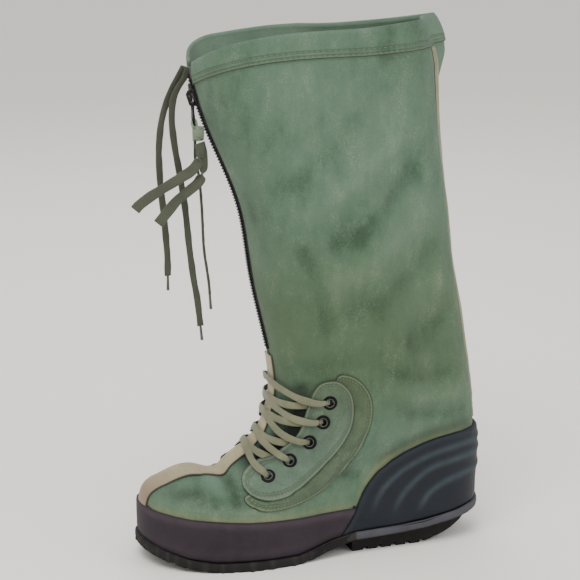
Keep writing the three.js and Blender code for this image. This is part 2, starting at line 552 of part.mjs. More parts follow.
for (const [name, side] of Object.entries(SIDES)) {
  const [from, to] = side < 0 ? [1, BALL_WIDTH] : [-BALL_WIDTH, -1];
  add("patch_" + name, "canvas", overlay(GAP, PATCH_HIGH, fromSide(rounded(PATCH_OUTLINE, 22), from, to)));
  let flap = overlay(FLAP_LOW, FLAP_HIGH, fromSide(rounded(FLAP_OUTLINE, 22), from, to));
  spots[name] = EYELETS.map(([x, z]) => find(x, z, side));
  spots[name].forEach(({ row, at }, k) => {
    const { p, normal } = onForm(row, at);
    const turn = new THREE.Quaternion().setFromUnitVectors(new THREE.Vector3(0, 1, 0), normal);
    const stand = new THREE.Matrix4().makeRotationFromQuaternion(turn).setPosition(p);
    const hole = new THREE.CylinderGeometry(BARREL + GAP, BARREL + GAP, 4 * FLAP_HIGH, ROUND);
    flap = flap.subtract(solid(hole.applyMatrix4(stand)));
    // The flange presses a shallow seat into the cloth.
    const press = new THREE.CylinderGeometry(EYELET_FLANGE + GAP, EYELET_FLANGE + GAP, FLAP_HIGH, ROUND);
    press.translate(0, EYELET_LOW - GAP + FLAP_HIGH / 2, 0);
    flap = flap.subtract(solid(press.applyMatrix4(stand)));
    const ring = new THREE.LatheGeometry(eyeletProfile, ROUND);
    add(`eyelet_${name}_${k + 1}`, "metal", ring.applyMatrix4(stand));
  });
  add("flap_" + name, "canvas", flap);
}

// Lace: a crossing between each pair of eyelets and the pair above it, and a bar at the top pair. A strand
// starts on one eyelet, lies over its flap, crosses the ridge and ends under the edge of the other flap.
const LACE_LOW = {
  under: 1.8 * GAP, ridge: STRIP_HIGH + 7 * GAP, edge: FLAP_HIGH + 6.5 * GAP, eyelet: EYELET_HIGH + 4 * GAP,
};
// How far from an eyelet's centre the lace changes its height
const LACE_REACH = { eyelet: 8, flap: 14, over: 28, ridge: 35, end: 11, under: 16, risen: 21 };
const mixed = (from, to, t) => from + (to - from) * fade(t);
// The sections that the lace climbs between its ends
const LACE_RISE = { crossing: 0.35, bar: 0.5 };
// The row that lies a number of sections above another.
function rowAbove(row, rise) {
  const i = Math.floor(row);
  const t = ROWS[i] + (ROWS[i + 1] - ROWS[i]) * (row - i) + rise;
  const k = ROWS.findIndex((next) => next > t) - 1;
  return k + (t - ROWS[k]) / (ROWS[k + 1] - ROWS[k]);
}
function strand(a, b, whole) {
  const climb = whole ? LACE_RISE.bar : LACE_RISE.crossing;
  const span = 1.15 * onForm(a.row, a.at).p.distanceTo(onForm(b.row, b.at).p);
  const over = (far) => {
    const { eyelet, flap, over: off, ridge } = LACE_REACH;
    if (far < flap) return mixed(LACE_LOW.eyelet, LACE_LOW.edge, (far - eyelet) / (flap - eyelet));
    return mixed(LACE_LOW.edge, LACE_LOW.ridge, (far - off) / (ridge - off));
  };
  const under = (far) =>
    mixed(LACE_LOW.under, LACE_LOW.ridge, (far - LACE_REACH.under) / (LACE_REACH.risen - LACE_REACH.under));
  const stop = whole ? 1 : 1 - LACE_REACH.end / span;
  const path = evenly(0, stop, 13).map((t) => {
    const row = rowAbove(a.row + (b.row - a.row) * t, climb * Math.sin(Math.PI * t));
    const { p, normal } = onForm(row, a.at + (b.at - a.at) * t);
    const [near, far] = [t * span, (1 - t) * span];
    const low = whole ? over(Math.min(near, far)) : far < LACE_REACH.over ? under(far) : over(near);
    return { p, normal, width: LACE_WIDTH, low, high: low + LACE };
  });
  return solid(bar(path));
}
add("lace_crossing_1", "lace", strand(spots.lateral[0], spots.medial[0], true));
for (let k = 1; k < EYELETS.length; k++) {
  const [one, other] = [["lateral", "medial"], ["medial", "lateral"]].map(([from, to]) =>
    strand(spots[from][k], spots[to][k - 1], false),
  );
  add(`lace_crossing_${k + 1}`, "lace", one.add(other));
}

// Zip: the tape behind the slit, and the chain that fills it
const TAPE_LOW = -WALL - GAP - TAPE;
const [TAPE_FOOT, TAPE_HEAD] = [ZIP_FOOT - 8, ZIP_HEAD + 6];
const tapeShape = fromSide([
  [-0.2 * LENGTH, TAPE_FOOT], [0.55 * LENGTH, TAPE_FOOT],
  [0.55 * LENGTH, TAPE_HEAD], [-0.2 * LENGTH, TAPE_HEAD],
], -TAPE_WIDTH / 2, TAPE_WIDTH / 2);
add("zip_tape", "tape", form(-WALL - GAP).subtract(form(TAPE_LOW, true)).intersect(tapeShape));
const CHAIN_LOW = -WALL + GAP;
const CHAIN_FOOT = ZIP_FOOT + 2;
const TOOTH_GAP = 0.8; // width of the chain between two teeth, as a share
const teeth = Math.round((ZIP_HEAD - CHAIN_FOOT) / TOOTH_PITCH);
const chainPath = evenly(CHAIN_FOOT, ZIP_HEAD, 2 * teeth).map((z, i) => ({
  ...front(z), width: i % 2 ? CHAIN_WIDTH : TOOTH_GAP * CHAIN_WIDTH, low: CHAIN_LOW, high: CHAIN_LOW + CHAIN,
}));
add("zip_chain", "metal", bar(chainPath));

// Slider: a plate in front of the chain with a bridge on it, drawn in the zip's own directions:
// x outward from the zip and z up along it
const SLIDER_AT = rise(1.846);
const SLIDER = { length: 16, width: 9.2, low: 1.0, high: 3.2, bridge: 8.4, bar: 2.0, thick: 2.2 };
const HALF_SLIDER = SLIDER.length / 2;
const seat = front(SLIDER_AT);
const slope = new THREE.Matrix4().makeBasis(
  seat.normal,
  new THREE.Vector3(0, -1, 0),
  new THREE.Vector3(0, -1, 0).cross(seat.normal).negate(),
).setPosition(seat.p);
const outlineShape = (points) => new THREE.Shape(points.map(([a, b]) => new THREE.Vector2(a, b)));
// A flat piece from an outline in x and z, centred on y.
function cheek(shape, thick) {
  const geometry = new THREE.ExtrudeGeometry(shape, { depth: thick, bevelEnabled: false, curveSegments: 6 });
  return geometry.translate(0, 0, -thick / 2).applyMatrix4(SIDE_VIEW);
}
const plateShape = outlineShape([
  [-0.32, -1], [0.32, -1], [0.5, 0], [0.5, 0.8], [0.3, 1], [-0.3, 1], [-0.5, 0.8], [-0.5, 0],
].map(([y, z]) => [y * SLIDER.width, z * HALF_SLIDER]));
const sliderPlate = new THREE.ExtrudeGeometry(plateShape, {
  depth: SLIDER.high - SLIDER.low, bevelEnabled: false,
}).translate(0, 0, SLIDER.low).applyMatrix4(BACK_VIEW);
const BRIDGE_FOOT = SLIDER.high - 0.5; // sunk into the plate
const bridge = outlineShape([
  [BRIDGE_FOOT, -1], [0.75 * SLIDER.bridge, -1], [SLIDER.bridge, -0.75], [SLIDER.bridge, 0.5],
  [0.7 * SLIDER.bridge, 0.85], [BRIDGE_FOOT, 0.85],
].map(([x, z]) => [x, z * HALF_SLIDER]));
bridge.holes.push(new THREE.Path([
  [SLIDER.high, SLIDER.bar - HALF_SLIDER], [SLIDER.bridge - SLIDER.bar, SLIDER.bar - HALF_SLIDER],
  [SLIDER.bridge - SLIDER.bar, 0.3 * HALF_SLIDER], [SLIDER.high, 0.5 * HALF_SLIDER],
].map(([x, z]) => new THREE.Vector2(x, z))));
const slider = solid(sliderPlate).add(solid(cheek(bridge, SLIDER.thick)));
add("zip_slider", "metal", slider.transform(slope.elements));

// Pull: a flat tab that hangs from a bar through the bridge and turns about it
const PULL = { length: 20, width: 6.4, thick: 1.4, window: 6.6, rail: 1.5, hole: 2.1 };
const HINGE_OUT = (SLIDER.high + SLIDER.bridge - SLIDER.bar) / 2;
const HINGE = new THREE.Vector3(HINGE_OUT, 0, SLIDER.bar + PULL.thick - HALF_SLIDER).applyMatrix4(slope);
const HOLE_DROP = PULL.length - PULL.hole - 1.5;
const tab = new THREE.Shape();
tab.moveTo(-PULL.width / 2, PULL.thick / 2);
tab.lineTo(-PULL.width / 2, PULL.width / 2 - PULL.length);
tab.absarc(0, PULL.width / 2 - PULL.length, PULL.width / 2, Math.PI, 2 * Math.PI, false);
tab.lineTo(PULL.width / 2, PULL.thick / 2);
const half = PULL.width / 2 - PULL.rail;
const pullWindow = [
  [-half, -PULL.thick / 2], [half, -PULL.thick / 2], [half, -PULL.window], [-half, -PULL.window],
];
tab.holes.push(new THREE.Path(pullWindow.map(([y, z]) => new THREE.Vector2(y, z))));
tab.holes.push(new THREE.Path().absarc(0, -HOLE_DROP, PULL.hole, 0, 2 * Math.PI, false));
const pull = new THREE.ExtrudeGeometry(tab, { depth: PULL.thick, bevelEnabled: false, curveSegments: 5 })
  .translate(0, 0, -PULL.thick / 2).applyMatrix4(BACK_VIEW);
const pullGroup = new THREE.Group();
pullGroup.position.copy(HINGE);
group.add(pullGroup);
add("zip_pull", "metal", solid(pull), pullGroup);

// Ribbon tied to the pull: a loop through its hole, joined to the knot, and two cut tails
const LOOP = { radius: 5.5, thick: 0.9 };
const KNOT = [5.5, 4.2, 7.5]; // half its size
const KNOT_AT = [1.4, -12.5, -25.2]; // from the hinge
const towards = new THREE.Vector3(0, -0.815, -0.58).normalize();
const loopTurn = new THREE.Matrix4().makeBasis(
  new THREE.Vector3(1, 0, 0), towards, new THREE.Vector3(1, 0, 0).cross(towards),
).setPosition(new THREE.Vector3(0, 0, -HOLE_DROP).addScaledVector(towards, LOOP.radius));
const loop = new THREE.TorusGeometry(LOOP.radius, LOOP.thick, 5, 10).applyMatrix4(loopTurn);
const knot = new THREE.SphereGeometry(1, 8, 6).scale(...KNOT).translate(...KNOT_AT);
add("ribbon_knot", "cord", solid(loop).add(solid(knot)), pullGroup);

const CORD_STEP = 14;
// A flat cord along hand-chosen points: its width lies in the plane of its curve.
function cord(name, points, width, thick, parent = group) {
  const curve = new THREE.CatmullRomCurve3(points.map((p) => new THREE.Vector3(...p)));
  const corners = evenly(0, (5 / 3) * Math.PI, 5);
  const section = outlineShape(corners.map((a) => [(thick / 2) * Math.cos(a), (width / 2) * Math.sin(a)]));
  const steps = Math.round(curve.getLength() / CORD_STEP);
  const tube = new THREE.ExtrudeGeometry(section, { steps, bevelEnabled: false, extrudePath: curve });
  return add(name, "cord", tube, parent);
}
// Routes of the cords: x from the toe, y and z, in millimetres
const ROUTES = {
  drawcord_outer: [
    [50, 6.2, 446.5], [46.5, 8.8, 438.5], [40, 10.5, 426], [34, 10.5, 411], [30, 10.5, 395],
    [28, 10.5, 376], [28, 10.5, 358], [29, 10.5, 339], [31, 10.5, 320], [32, 10.5, 307],
    [33, 10.5, 293], [34, 10.5, 279], [34, 10.5, 266], [34, 10.5, 260.5],
  ],
  drawcord_inner: [
    [53, 1.6, 446], [50, 4.6, 436.5], [44, 6.4, 427], [40, 6.8, 417], [38.7, 6.6, 405], [39, 6.2, 393],
    [41, 5.8, 376], [44, 5.5, 358], [47, 5.5, 339], [50, 5.5, 316], [52, 5.5, 293], [54, 5.5, 275],
    [56, 5.5, 259], [59, 5.5, 241], [61, 5.5, 224], [62, 5.5, 213.5],
  ],
  drawcord_thin: [
    [55, 7, 431], [55.5, 7, 423], [57, 6.8, 412], [58.5, 6, 400], [59, 5.5, 388], [59, 5.5, 376],
    [59, 5.5, 366], [60.7, 5.5, 357], [62.7, 5.5, 346], [64.3, 5.5, 324], [65, 5.5, 308],
    [65.5, 5.5, 292], [66.5, 5.5, 279], [68.2, 5.5, 267], [70.2, 5.5, 252], [70.9, 5.5, 241.5],
  ],
  ribbon_tail_upper: [
    [57.5, -14, 382.2], [58.5, -14, 376], [57.5, -14, 368], [51.4, -14, 359.2], [40.9, -14, 352.8],
    [29.3, -14, 346.5], [15, -14, 338.6], [4.3, -14, 331.3], [0.1, -14, 327],
  ],
  ribbon_tail_lower: [
    [59.5, -11, 382.2], [62, -11, 371.1], [62, -11, 357.9], [57.7, -11, 347.7], [48.6, -11, 340.3],
    [38.7, -11, 332.9], [29.6, -11, 322.9], [21, -11, 312.8],
  ],
};
const CORDS = {
  drawcord_outer: { width: 6.2, thick: 2.2 },
  drawcord_inner: { width: 6.2, thick: 2.2 },
  drawcord_thin: { width: 2.6, thick: 2.0 },
};
const AGLET = { length: 13, radius: 1.4 };
for (const [name, { width, thick }] of Object.entries(CORDS)) {
  const points = ROUTES[name];
  cord(name, points, width, thick);
  const [from, to] = points.slice(-2).map((p) => new THREE.Vector3(...p));
  const down = to.clone().sub(from).normalize();
  const aglet = add(name.replace("drawcord", "aglet"), "metal",
    new THREE.CylinderGeometry(0.8 * AGLET.radius, AGLET.radius, AGLET.length, 8));
  aglet.quaternion.setFromUnitVectors(new THREE.Vector3(0, -1, 0), down);
  aglet.position.copy(to).addScaledVector(down, GAP + AGLET.length / 2);
}
const RIBBON = { width: 9, thick: 0.9 };
for (const name of ["ribbon_tail_upper", "ribbon_tail_lower"]) {
  const mesh = cord(name, ROUTES[name], RIBBON.width, RIBBON.thick, pullGroup);
  mesh.position.copy(HINGE).negate();
}

// The origin is on the floor in the middle of everything but the hanging cords.
const hanging = /^(drawcord|aglet|ribbon)/;
group.updateMatrixWorld(true);
const box = new THREE.Box3();
group.traverse((o) => {
  if (o.isMesh && !hanging.test(o.name)) box.expandByObject(o, true);
});
const middle = box.getCenter(new THREE.Vector3());
group.position.set(-middle.x, -middle.y, -box.min.z);
export default group;
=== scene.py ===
# %% [markdown]
# This lesson dresses a tall canvas mukluk with a rubber bottom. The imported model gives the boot's
# frame: its parts, its bodies and its box. Everything that is made here sits where that frame says.

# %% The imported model
import math
import random
from functools import lru_cache

import bmesh
import bpy
import numpy as np
from mathutils import Matrix, Vector
from mathutils.bvhtree import BVHTree


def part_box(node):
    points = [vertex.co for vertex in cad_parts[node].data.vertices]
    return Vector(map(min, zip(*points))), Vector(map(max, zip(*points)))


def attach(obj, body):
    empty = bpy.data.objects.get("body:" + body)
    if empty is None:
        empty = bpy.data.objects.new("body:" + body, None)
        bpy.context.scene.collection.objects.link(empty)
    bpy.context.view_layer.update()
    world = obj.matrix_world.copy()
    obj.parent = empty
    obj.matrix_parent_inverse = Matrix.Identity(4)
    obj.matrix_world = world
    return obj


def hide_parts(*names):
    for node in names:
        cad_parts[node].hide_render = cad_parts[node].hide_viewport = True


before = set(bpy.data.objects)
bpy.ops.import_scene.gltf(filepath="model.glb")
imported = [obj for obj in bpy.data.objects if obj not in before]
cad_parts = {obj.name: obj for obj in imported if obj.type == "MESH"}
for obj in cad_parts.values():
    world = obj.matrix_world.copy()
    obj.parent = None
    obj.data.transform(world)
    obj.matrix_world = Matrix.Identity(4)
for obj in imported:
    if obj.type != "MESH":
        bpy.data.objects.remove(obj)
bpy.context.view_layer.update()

MM = 0.001

# %% [markdown]
# The camera comes first. The photograph was taken from the boot's lateral side, a little from the
# front and from above, with a long lens. The pattern below works in millimetres from the toe tip,
# so one function moves a pattern point into the frame.

# %% Camera
# the outsole's toe stands this far behind the pattern's zero
TOE_BACK = 0.2
PATTERN_ORIGIN = Vector((
    1000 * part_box("outsole")[0].x - TOE_BACK,
    500 * (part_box("zip_chain")[0].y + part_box("zip_chain")[1].y),
    0,
))


def at(x, y, z):
    """A pattern point, in millimetres, as a place in the frame, in metres."""
    return (Vector((x, y, z)) + PATTERN_ORIGIN) * MM


YAW = math.radians(17.2)
PITCH = math.radians(14.7)
CAMERA_AT = (-357.1, -1618.8, 686.0)
LENS_PIXELS = 1949
FRAME_PIXELS = 580
SENSOR = 36
camera = bpy.data.objects.new("camera", bpy.data.cameras.new("camera"))
bpy.context.scene.collection.objects.link(camera)
camera.location = at(*CAMERA_AT)
camera.rotation_euler = (math.pi / 2 - PITCH, 0, -YAW)
camera.data.sensor_width = SENSOR
camera.data.lens = LENS_PIXELS / FRAME_PIXELS * SENSOR
bpy.context.scene.camera = camera
print("camera", [round(v, 3) for v in camera.location], "lens", round(camera.data.lens, 1))

# %% [markdown]
# The light is a bright, soft room: a pale sky all round, one large soft panel above the toe side
# and two weaker ones, from the right and from behind, over a plain pale floor.

# %% Floor and light
world = bpy.data.worlds.new("room")
bpy.context.scene.world = world
world.use_nodes = True
world.node_tree.nodes["Background"].inputs["Color"].default_value = (0.93, 0.94, 0.93, 1)
world.node_tree.nodes["Background"].inputs["Strength"].default_value = 0.97


def panel_light(name, place, aim, size, watts, color):
    """A square area light that faces a point."""
    lamp = bpy.data.lights.new(name, "AREA")
    lamp.size = size
    lamp.energy = watts
    lamp.color = color
    obj = bpy.data.objects.new(name, lamp)
    bpy.context.scene.collection.objects.link(obj)
    obj.location = place
    obj.rotation_euler = (Vector(aim) - Vector(place)).to_track_quat("-Z", "Y").to_euler()


panel_light("overhead", (-0.7, -0.9, 1.9), (0, 0, 0.2), 1.2, 30, (1.0, 0.99, 0.97))
panel_light("side", (1.3, -1.2, 1.0), (0, 0, 0.2), 1.2, 9, (0.93, 0.96, 1.0))
panel_light("back", (0.2, 1.4, 1.5), (0, 0, 0.25), 1.2, 10, (1.0, 1.0, 1.0))


def finish_mesh(bm, name, smooth=True):
    """A new object at the origin from a bmesh."""
    mesh = bpy.data.meshes.new(name)
    bm.to_mesh(mesh)
    bm.free()
    for face in mesh.polygons:
        face.use_smooth = smooth
    obj = bpy.data.objects.new(name, mesh)
    bpy.context.scene.collection.objects.link(obj)
    return obj


bm = bmesh.new()
bmesh.ops.create_grid(bm, x_segments=1, y_segments=1, size=6)
floor = finish_mesh(bm, "floor")
print("lights", len(bpy.data.lights))

# %% [markdown]
# The finishes are built from nodes. A small class wraps a socket, so that shader maths reads as
# plain Python, and one method makes any other node.

# %% Shader maths
class Value:
    """A socket whose operators add Math nodes."""

    def __init__(self, shader, socket):
        self.shader = shader
        self.socket = socket

    def math(self, operation, *others):
        return self.shader.node("ShaderNodeMath", {"operation": operation}, dict(enumerate([self, *others])))

    def __add__(self, other):
        return self.math("ADD", other)

    __radd__ = __add__

    def __mul__(self, other):
        return self.math("MULTIPLY", other)

    __rmul__ = __mul__

    def __sub__(self, other):
        return self.math("SUBTRACT", other)

    def __rsub__(self, other):
        return self * -1 + other

    def clamp(self):
        return self.shader.node("ShaderNodeClamp", {}, {"Value": self})

    def step(self, low, high):
        """0 below low, 1 above high, and smooth between."""
        return self.shader.node("ShaderNodeMapRange", {"interpolation_type": "SMOOTHSTEP"}, {
            "Value": self, "From Min": low, "From Max": high,
        })

    def band(self, middle, half, soft):
        """1 within a band round a middle value."""
        return 1 - (self - middle).math("ABSOLUTE").step(half, half + soft)


class Shader:
    """A material whose nodes are added by short calls."""

    def __init__(self, name):
        self.material = bpy.data.materials.new(name)
        self.material.use_nodes = True
        self.tree = self.material.node_tree
        self.principled = self.tree.nodes["Principled BSDF"]

    def node(self, kind, settings=None, inputs=None, output=0):
        made = self.tree.nodes.new(kind)
        for key, value in (settings or {}).items():
            setattr(made, key, value)
        for key, value in (inputs or {}).items():
            self.join(made.inputs[key], value)
        return Value(self, made.outputs[output])

    def join(self, socket, value):
        if isinstance(value, Value):
            self.tree.links.new(value.socket, socket)
        elif isinstance(value, tuple) and len(value) == 3 and socket.type == "RGBA":
            socket.default_value = (*value, 1)
        else:
            socket.default_value = value

    def place(self):
        return self.node("ShaderNodeTexCoord", output=3)

    def attribute(self, name):
        return self.node("ShaderNodeAttribute", {"attribute_name": name}, output=2)

    def stretched(self, vector, scale):
        return self.node("ShaderNodeMapping", {}, {"Vector": vector, "Scale": scale})

    def noise(self, vector, scale, detail=3, roughness=0.55, distortion=0.0):
        return self.node("ShaderNodeTexNoise", {}, {
            "Vector": vector, "Scale": scale, "Detail": detail, "Roughness": roughness,
            "Distortion": distortion,
        })

    def mix(self, factor, low, high, kind="MIX"):
        made = self.tree.nodes.new("ShaderNodeMix")
        made.data_type = "RGBA"
        made.blend_type = kind
        self.join(made.inputs[0], factor)
        self.join(made.inputs[6], low)
        self.join(made.inputs[7], high)
        return Value(self, made.outputs[2])

    def bump(self, height, strength, distance):
        return self.node("ShaderNodeBump", {}, {"Height": height, "Strength": strength, "Distance": distance})

    def surface(self, color, roughness, normal=None, **constants):
        self.join(self.principled.inputs["Base Color"], color)
        self.join(self.principled.inputs["Roughness"], roughness)
        if normal is not None:
            self.join(self.principled.inputs["Normal"], normal)
        for key, value in constants.items():
            self.principled.inputs[key.replace("_", " ")].default_value = value
        return self.material


paper = Shader("pale floor")
paper.surface((0.93, 0.895, 0.835), 0.8)
floor.data.materials.append(paper.material)
print("floor material", paper.material.name)

# %% [markdown]
# Cloth that is woven shows two sets of threads. Every woven finish here shares one weave: it takes
# two lengths along the cloth, in metres, and gives a height. The cords carry their own lengths as
# attributes, so the threads bend with them.

# %% Woven cords and ribbons
def weave(along, across, pitch):
    """The height of a plain weave with threads of one pitch."""
    warp = (along * (2 * math.pi / pitch)).math("SINE")
    weft = (across * (2 * math.pi / pitch)).math("SINE")
    return warp * weft


CORD_ROUGHNESS, CORD_DEPTH = 0.9, 0.0004


def woven(name, dark, light, pitch, edge=0.12):
    """A narrow woven cloth with paler edges and soft dirt."""
    s = Shader(name)
    along, across = s.attribute("along"), s.attribute("across")
    threads = weave(along, across, pitch)
    cloudy = s.noise(s.place(), 55, 4, 0.6)
    fuzz = s.noise(s.place(), 1400, 2, 0.6)
    color = s.mix((cloudy * 0.8 + fuzz * 0.35 + threads * 0.12 - 0.05).clamp(), dark, light)
    worn = (across.math("ABSOLUTE") * 2).step(0.72, 1.0) * edge
    color = s.mix(worn, color, tuple(min(1, 1.5 * c) for c in light))
    height = threads * 0.5 + fuzz * 0.6
    s.surface(color, CORD_ROUGHNESS, s.bump(height, 0.6, CORD_DEPTH), Sheen_Weight=0.25, Sheen_Roughness=0.5)
    return s.material


CORD_CLOTH = woven("olive grey cord", (0.018, 0.022, 0.013), (0.062, 0.068, 0.042), 0.0016)
RIBBON_CLOTH = woven("grey green ribbon", (0.022, 0.027, 0.016), (0.08, 0.088, 0.055), 0.0018)
KNOT_CLOTH = woven("pale green knot", (0.06, 0.085, 0.055), (0.21, 0.26, 0.18), 0.0018)
LACE_CLOTH = woven("khaki lace", (0.07, 0.074, 0.038), (0.235, 0.232, 0.142), 0.0017, edge=0.2)
print("woven finishes", 4)

# %% [markdown]
# A flat cord is swept: a circle is made for each station of its path, flattened to the cord's
# section, turned to face along the path, and bridged to the next. The section's long side follows
# a direction that is given, and soft waves in it keep the cord from looking extruded.

# %% Sweeping a flat cord
def spline(points, count):
    """Evenly spaced points of a smooth curve through the given ones."""
    points = [Vector(p) for p in points]
    ends = [2 * points[0] - points[1], *points, 2 * points[-1] - points[-2]]
    fine = []
    for i in range(1, len(ends) - 2):
        a, b, c, d = ends[i - 1:i + 3]
        for k in range(12):
            t = k / 12
            fine.append(0.5 * (2 * b + (c - a) * t + (2 * a - 5 * b + 4 * c - d) * t ** 2
                               + (3 * b - a - 3 * c + d) * t ** 3))
    fine.append(points[-1])
    run = np.concatenate([[0], np.cumsum([(q - p).length for p, q in zip(fine, fine[1:])])])
    rows = np.array([list(p) for p in fine])
    marks = np.linspace(0, run[-1], count)
    return [Vector(p) for p in np.stack([np.interp(marks, run, rows[:, k]) for k in range(3)], 1)], run[-1]


def sweep(bm, path, width, thick, wide, segments=12, taper=None, wave=0.06, seed=1):
    """Adds a flat cord along a path to a bmesh."""
    along = bm.verts.layers.float.get("along") or bm.verts.layers.float.new("along")
    across = bm.verts.layers.float.get("across") or bm.verts.layers.float.new("across")
    soft = random.Random(seed)
    phases = [soft.uniform(0, 6.3) for _ in range(3)]
    rings = []
    run = 0.0
    for i, p in enumerate(path):
        ahead = (path[min(i + 1, len(path) - 1)] - path[max(i - 1, 0)]).normalized()
        flat = wide(i / (len(path) - 1)) if callable(wide) else wide
        flat = (flat - flat.dot(ahead) * ahead).normalized()
        up = ahead.cross(flat)
        run += (p - path[i - 1]).length if i else 0
        swing = wave * math.sin(run / width * 1.3 + phases[0])
        swing += 0.5 * wave * math.sin(run / width * 2.9 + phases[1])
        scale = taper(i / (len(path) - 1)) if taper else 1
        made = bmesh.ops.create_circle(bm, segments=segments, radius=1)["verts"]
        for v in made:
            w, h = v.co.x, v.co.y
            lens = math.copysign(abs(h) ** 0.75, h)
            v[along] = run
            v[across] = w * width / 2
            v.co = p + flat * (w * width / 2 * scale * (1 + swing)) + up * (
                lens * thick / 2 * scale + w * w * swing * thick * 1.5)
        rings.append(made)
    for one, other in zip(rings, rings[1:]):
        edges = {e for ring in (one, other) for v in ring for e in v.link_edges if e.other_vert(v) in ring}
        bmesh.ops.bridge_loops(bm, edges=[e for e in edges if e.is_boundary or e.is_wire])
    for ring in (rings[0], rings[-1]):
        bmesh.ops.contextual_create(bm, geom=ring)
    bmesh.ops.recalc_face_normals(bm, faces=bm.faces)


CORD_RUNS = {
    "drawcord_outer": [
        (50, 6.2, 446.5), (46.5, 8.8, 438.5), (40, 10.5, 426), (34, 10.5, 411), (30, 10.5, 395),
        (28, 10.5, 376), (28, 10.5, 358), (29, 10.5, 339), (31, 10.5, 320), (32, 10.5, 307),
        (33, 10.5, 293), (34, 10.5, 279), (34, 10.5, 266), (34, 10.5, 260.5),
    ],
    "drawcord_inner": [
        (53, 1.6, 446), (50, 4.6, 436.5), (44, 6, 427), (40, 6, 417), (38.7, 5.5, 405), (39, 5.5, 393),
        (41, 5.5, 376), (44, 5.5, 358), (47, 5.5, 339), (50, 5.5, 316), (52, 5.5, 293), (54, 5.5, 275),
        (56, 5.5, 259), (59, 5.5, 241), (61, 5.5, 224), (62, 5.5, 213.5),
    ],
    "drawcord_thin": [
        (55, 7, 431), (55.5, 7, 423), (57, 6.8, 412), (58.5, 6, 400), (59, 5.5, 388), (59, 5.5, 376),
        (59, 5.5, 366), (60.7, 5.5, 357), (62.7, 5.5, 346), (64.3, 5.5, 324), (65, 5.5, 308),
        (65.5, 5.5, 292), (66.5, 5.5, 279), (68.2, 5.5, 267), (70.2, 5.5, 252), (70.9, 5.5, 241.5),
    ],
    "ribbon_tail_upper": [
        (57.5, -14, 382.2), (58.5, -14, 376), (57.5, -14, 368), (51.4, -14, 359.2), (40.9, -14, 352.8),
        (29.3, -14, 346.5), (15, -14, 338.6), (4.3, -14, 331.3), (0.1, -14, 327),
    ],
    "ribbon_tail_lower": [
        (59.5, -11, 382.2), (62, -11, 371.1), (62, -11, 357.9), (57.7, -11, 347.7), (48.6, -11, 340.3),
        (38.7, -11, 332.9), (29.6, -11, 322.9), (21, -11, 312.8),
    ],
}
CORD_SIZES = {
    "drawcord_outer": (6.2, 2.2), "drawcord_inner": (6.2, 2.2), "drawcord_thin": (2.6, 2.0),
    "ribbon_tail_upper": (9, 0.9), "ribbon_tail_lower": (9, 0.9),
}

# %% [markdown]
# The drawcords come round the collar's front edge and hang down to their tips. The wide ones are
# flattened tubes of woven cotton. The ribbon's two tails ride on the zip's pull, with its knot.

# %% Drawcords and ribbon tails
for name, points in CORD_RUNS.items():
    width, thick = CORD_SIZES[name]
    path, length = spline([at(*p) for p in points], 64)
    bm = bmesh.new()
    wide = Vector((1, 0.12, 0.1)) if name.startswith("drawcord") else Vector((0.35, 0.1, 1))
    sweep(bm, path, width * MM, thick * MM, wide, wave=0.05, seed=len(name))
    obj = finish_mesh(bm, name + "_cloth")
    tail = name.startswith("ribbon")
    obj.data.materials.append(RIBBON_CLOTH if tail else CORD_CLOTH)
    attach(obj, "pull" if tail else "boot")
    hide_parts(name)
    print(name, round(1000 * length), "mm long")

# %% [markdown]
# The boot's form is the last's shape with the loose shaft on it. A table holds its sections from
# the sole to the collar. Each section runs from a point on the front to one on the back: a round
# front, a side, and a round back. The same table drew the solids, so both have one shape.

# %% The form's sections
LENGTH, HALF, INSTEP, COLLAR = 325, 62, 100, 480
TOE_SHIFT, SEAM_SHIFT = 5, 20
# the power of the round ends: 2 would be an ellipse
ROUNDNESS = 2.25
SOLE_GAP = 0.3
COLUMNS = (
    "front_x", "front_z", "back_x", "back_z", "front_round", "front_width", "mid_width",
    "back_width", "back_round", "droop", "toe", "seam", "medial",
)
SECTIONS = (
    (0.02, 0.24, 0.98, 0.33, 0.29, 0.89, 0.7, 0.65, 0.135, 0.0, 1.0, 0.0, -0.12),
    (0.016, 0.58, 0.988, 0.76, 0.3, 0.885, 0.73, 0.64, 0.135, 0.12, 1.0, 0.0, -0.06),
    (0.045, 0.735, 0.986, 1.0, 0.31, 0.85, 0.75, 0.63, 0.135, 0.24, 0.9, 0.0, -0.03),
    (0.145, 0.822, 0.981, 1.06, 0.33, 0.83, 0.76, 0.61, 0.13, 0.27, 0.7, 0.0, 0.0),
    (0.237, 0.895, 0.975, 1.108, 0.345, 0.82, 0.76, 0.59, 0.125, 0.27, 0.4, 0.0, 0.0),
    (0.32, 1.004, 0.963, 1.18, 0.33, 0.8, 0.76, 0.57, 0.12, 0.27, 0.2, 0.0, 0.0),
    (0.363, 1.047, 0.941, 1.287, 0.29, 0.75, 0.75, 0.55, 0.115, 0.2, 0.0, 0.0, 0.02),
    (0.392, 1.165, 0.911, 1.44, 0.21, 0.73, 0.755, 0.53, 0.105, 0.09, 0.0, 0.0, 0.02),
    (0.335, 1.4, 0.883, 1.62, 0.17, 0.74, 0.77, 0.55, 0.105, 0.0, 0.0, 0.0, 0.03),
    (0.296, 1.59, 0.858, 1.765, 0.155, 0.74, 0.76, 0.54, 0.1, 0.0, 0.0, 0.1, 0.04),
    (0.208, 1.776, 0.831, 1.9, 0.14, 0.74, 0.73, 0.52, 0.095, -0.06, 0.0, 0.4, 0.06),
    (0.173, 1.871, 0.817, 1.945, 0.125, 0.73, 0.7, 0.49, 0.088, -0.15, 0.0, 0.75, 0.1),
    (0.166, 1.92, 0.79, 2.013, 0.11, 0.725, 0.68, 0.46, 0.08, -0.17, 0.0, 1.0, 0.14),
)
HEM = 11
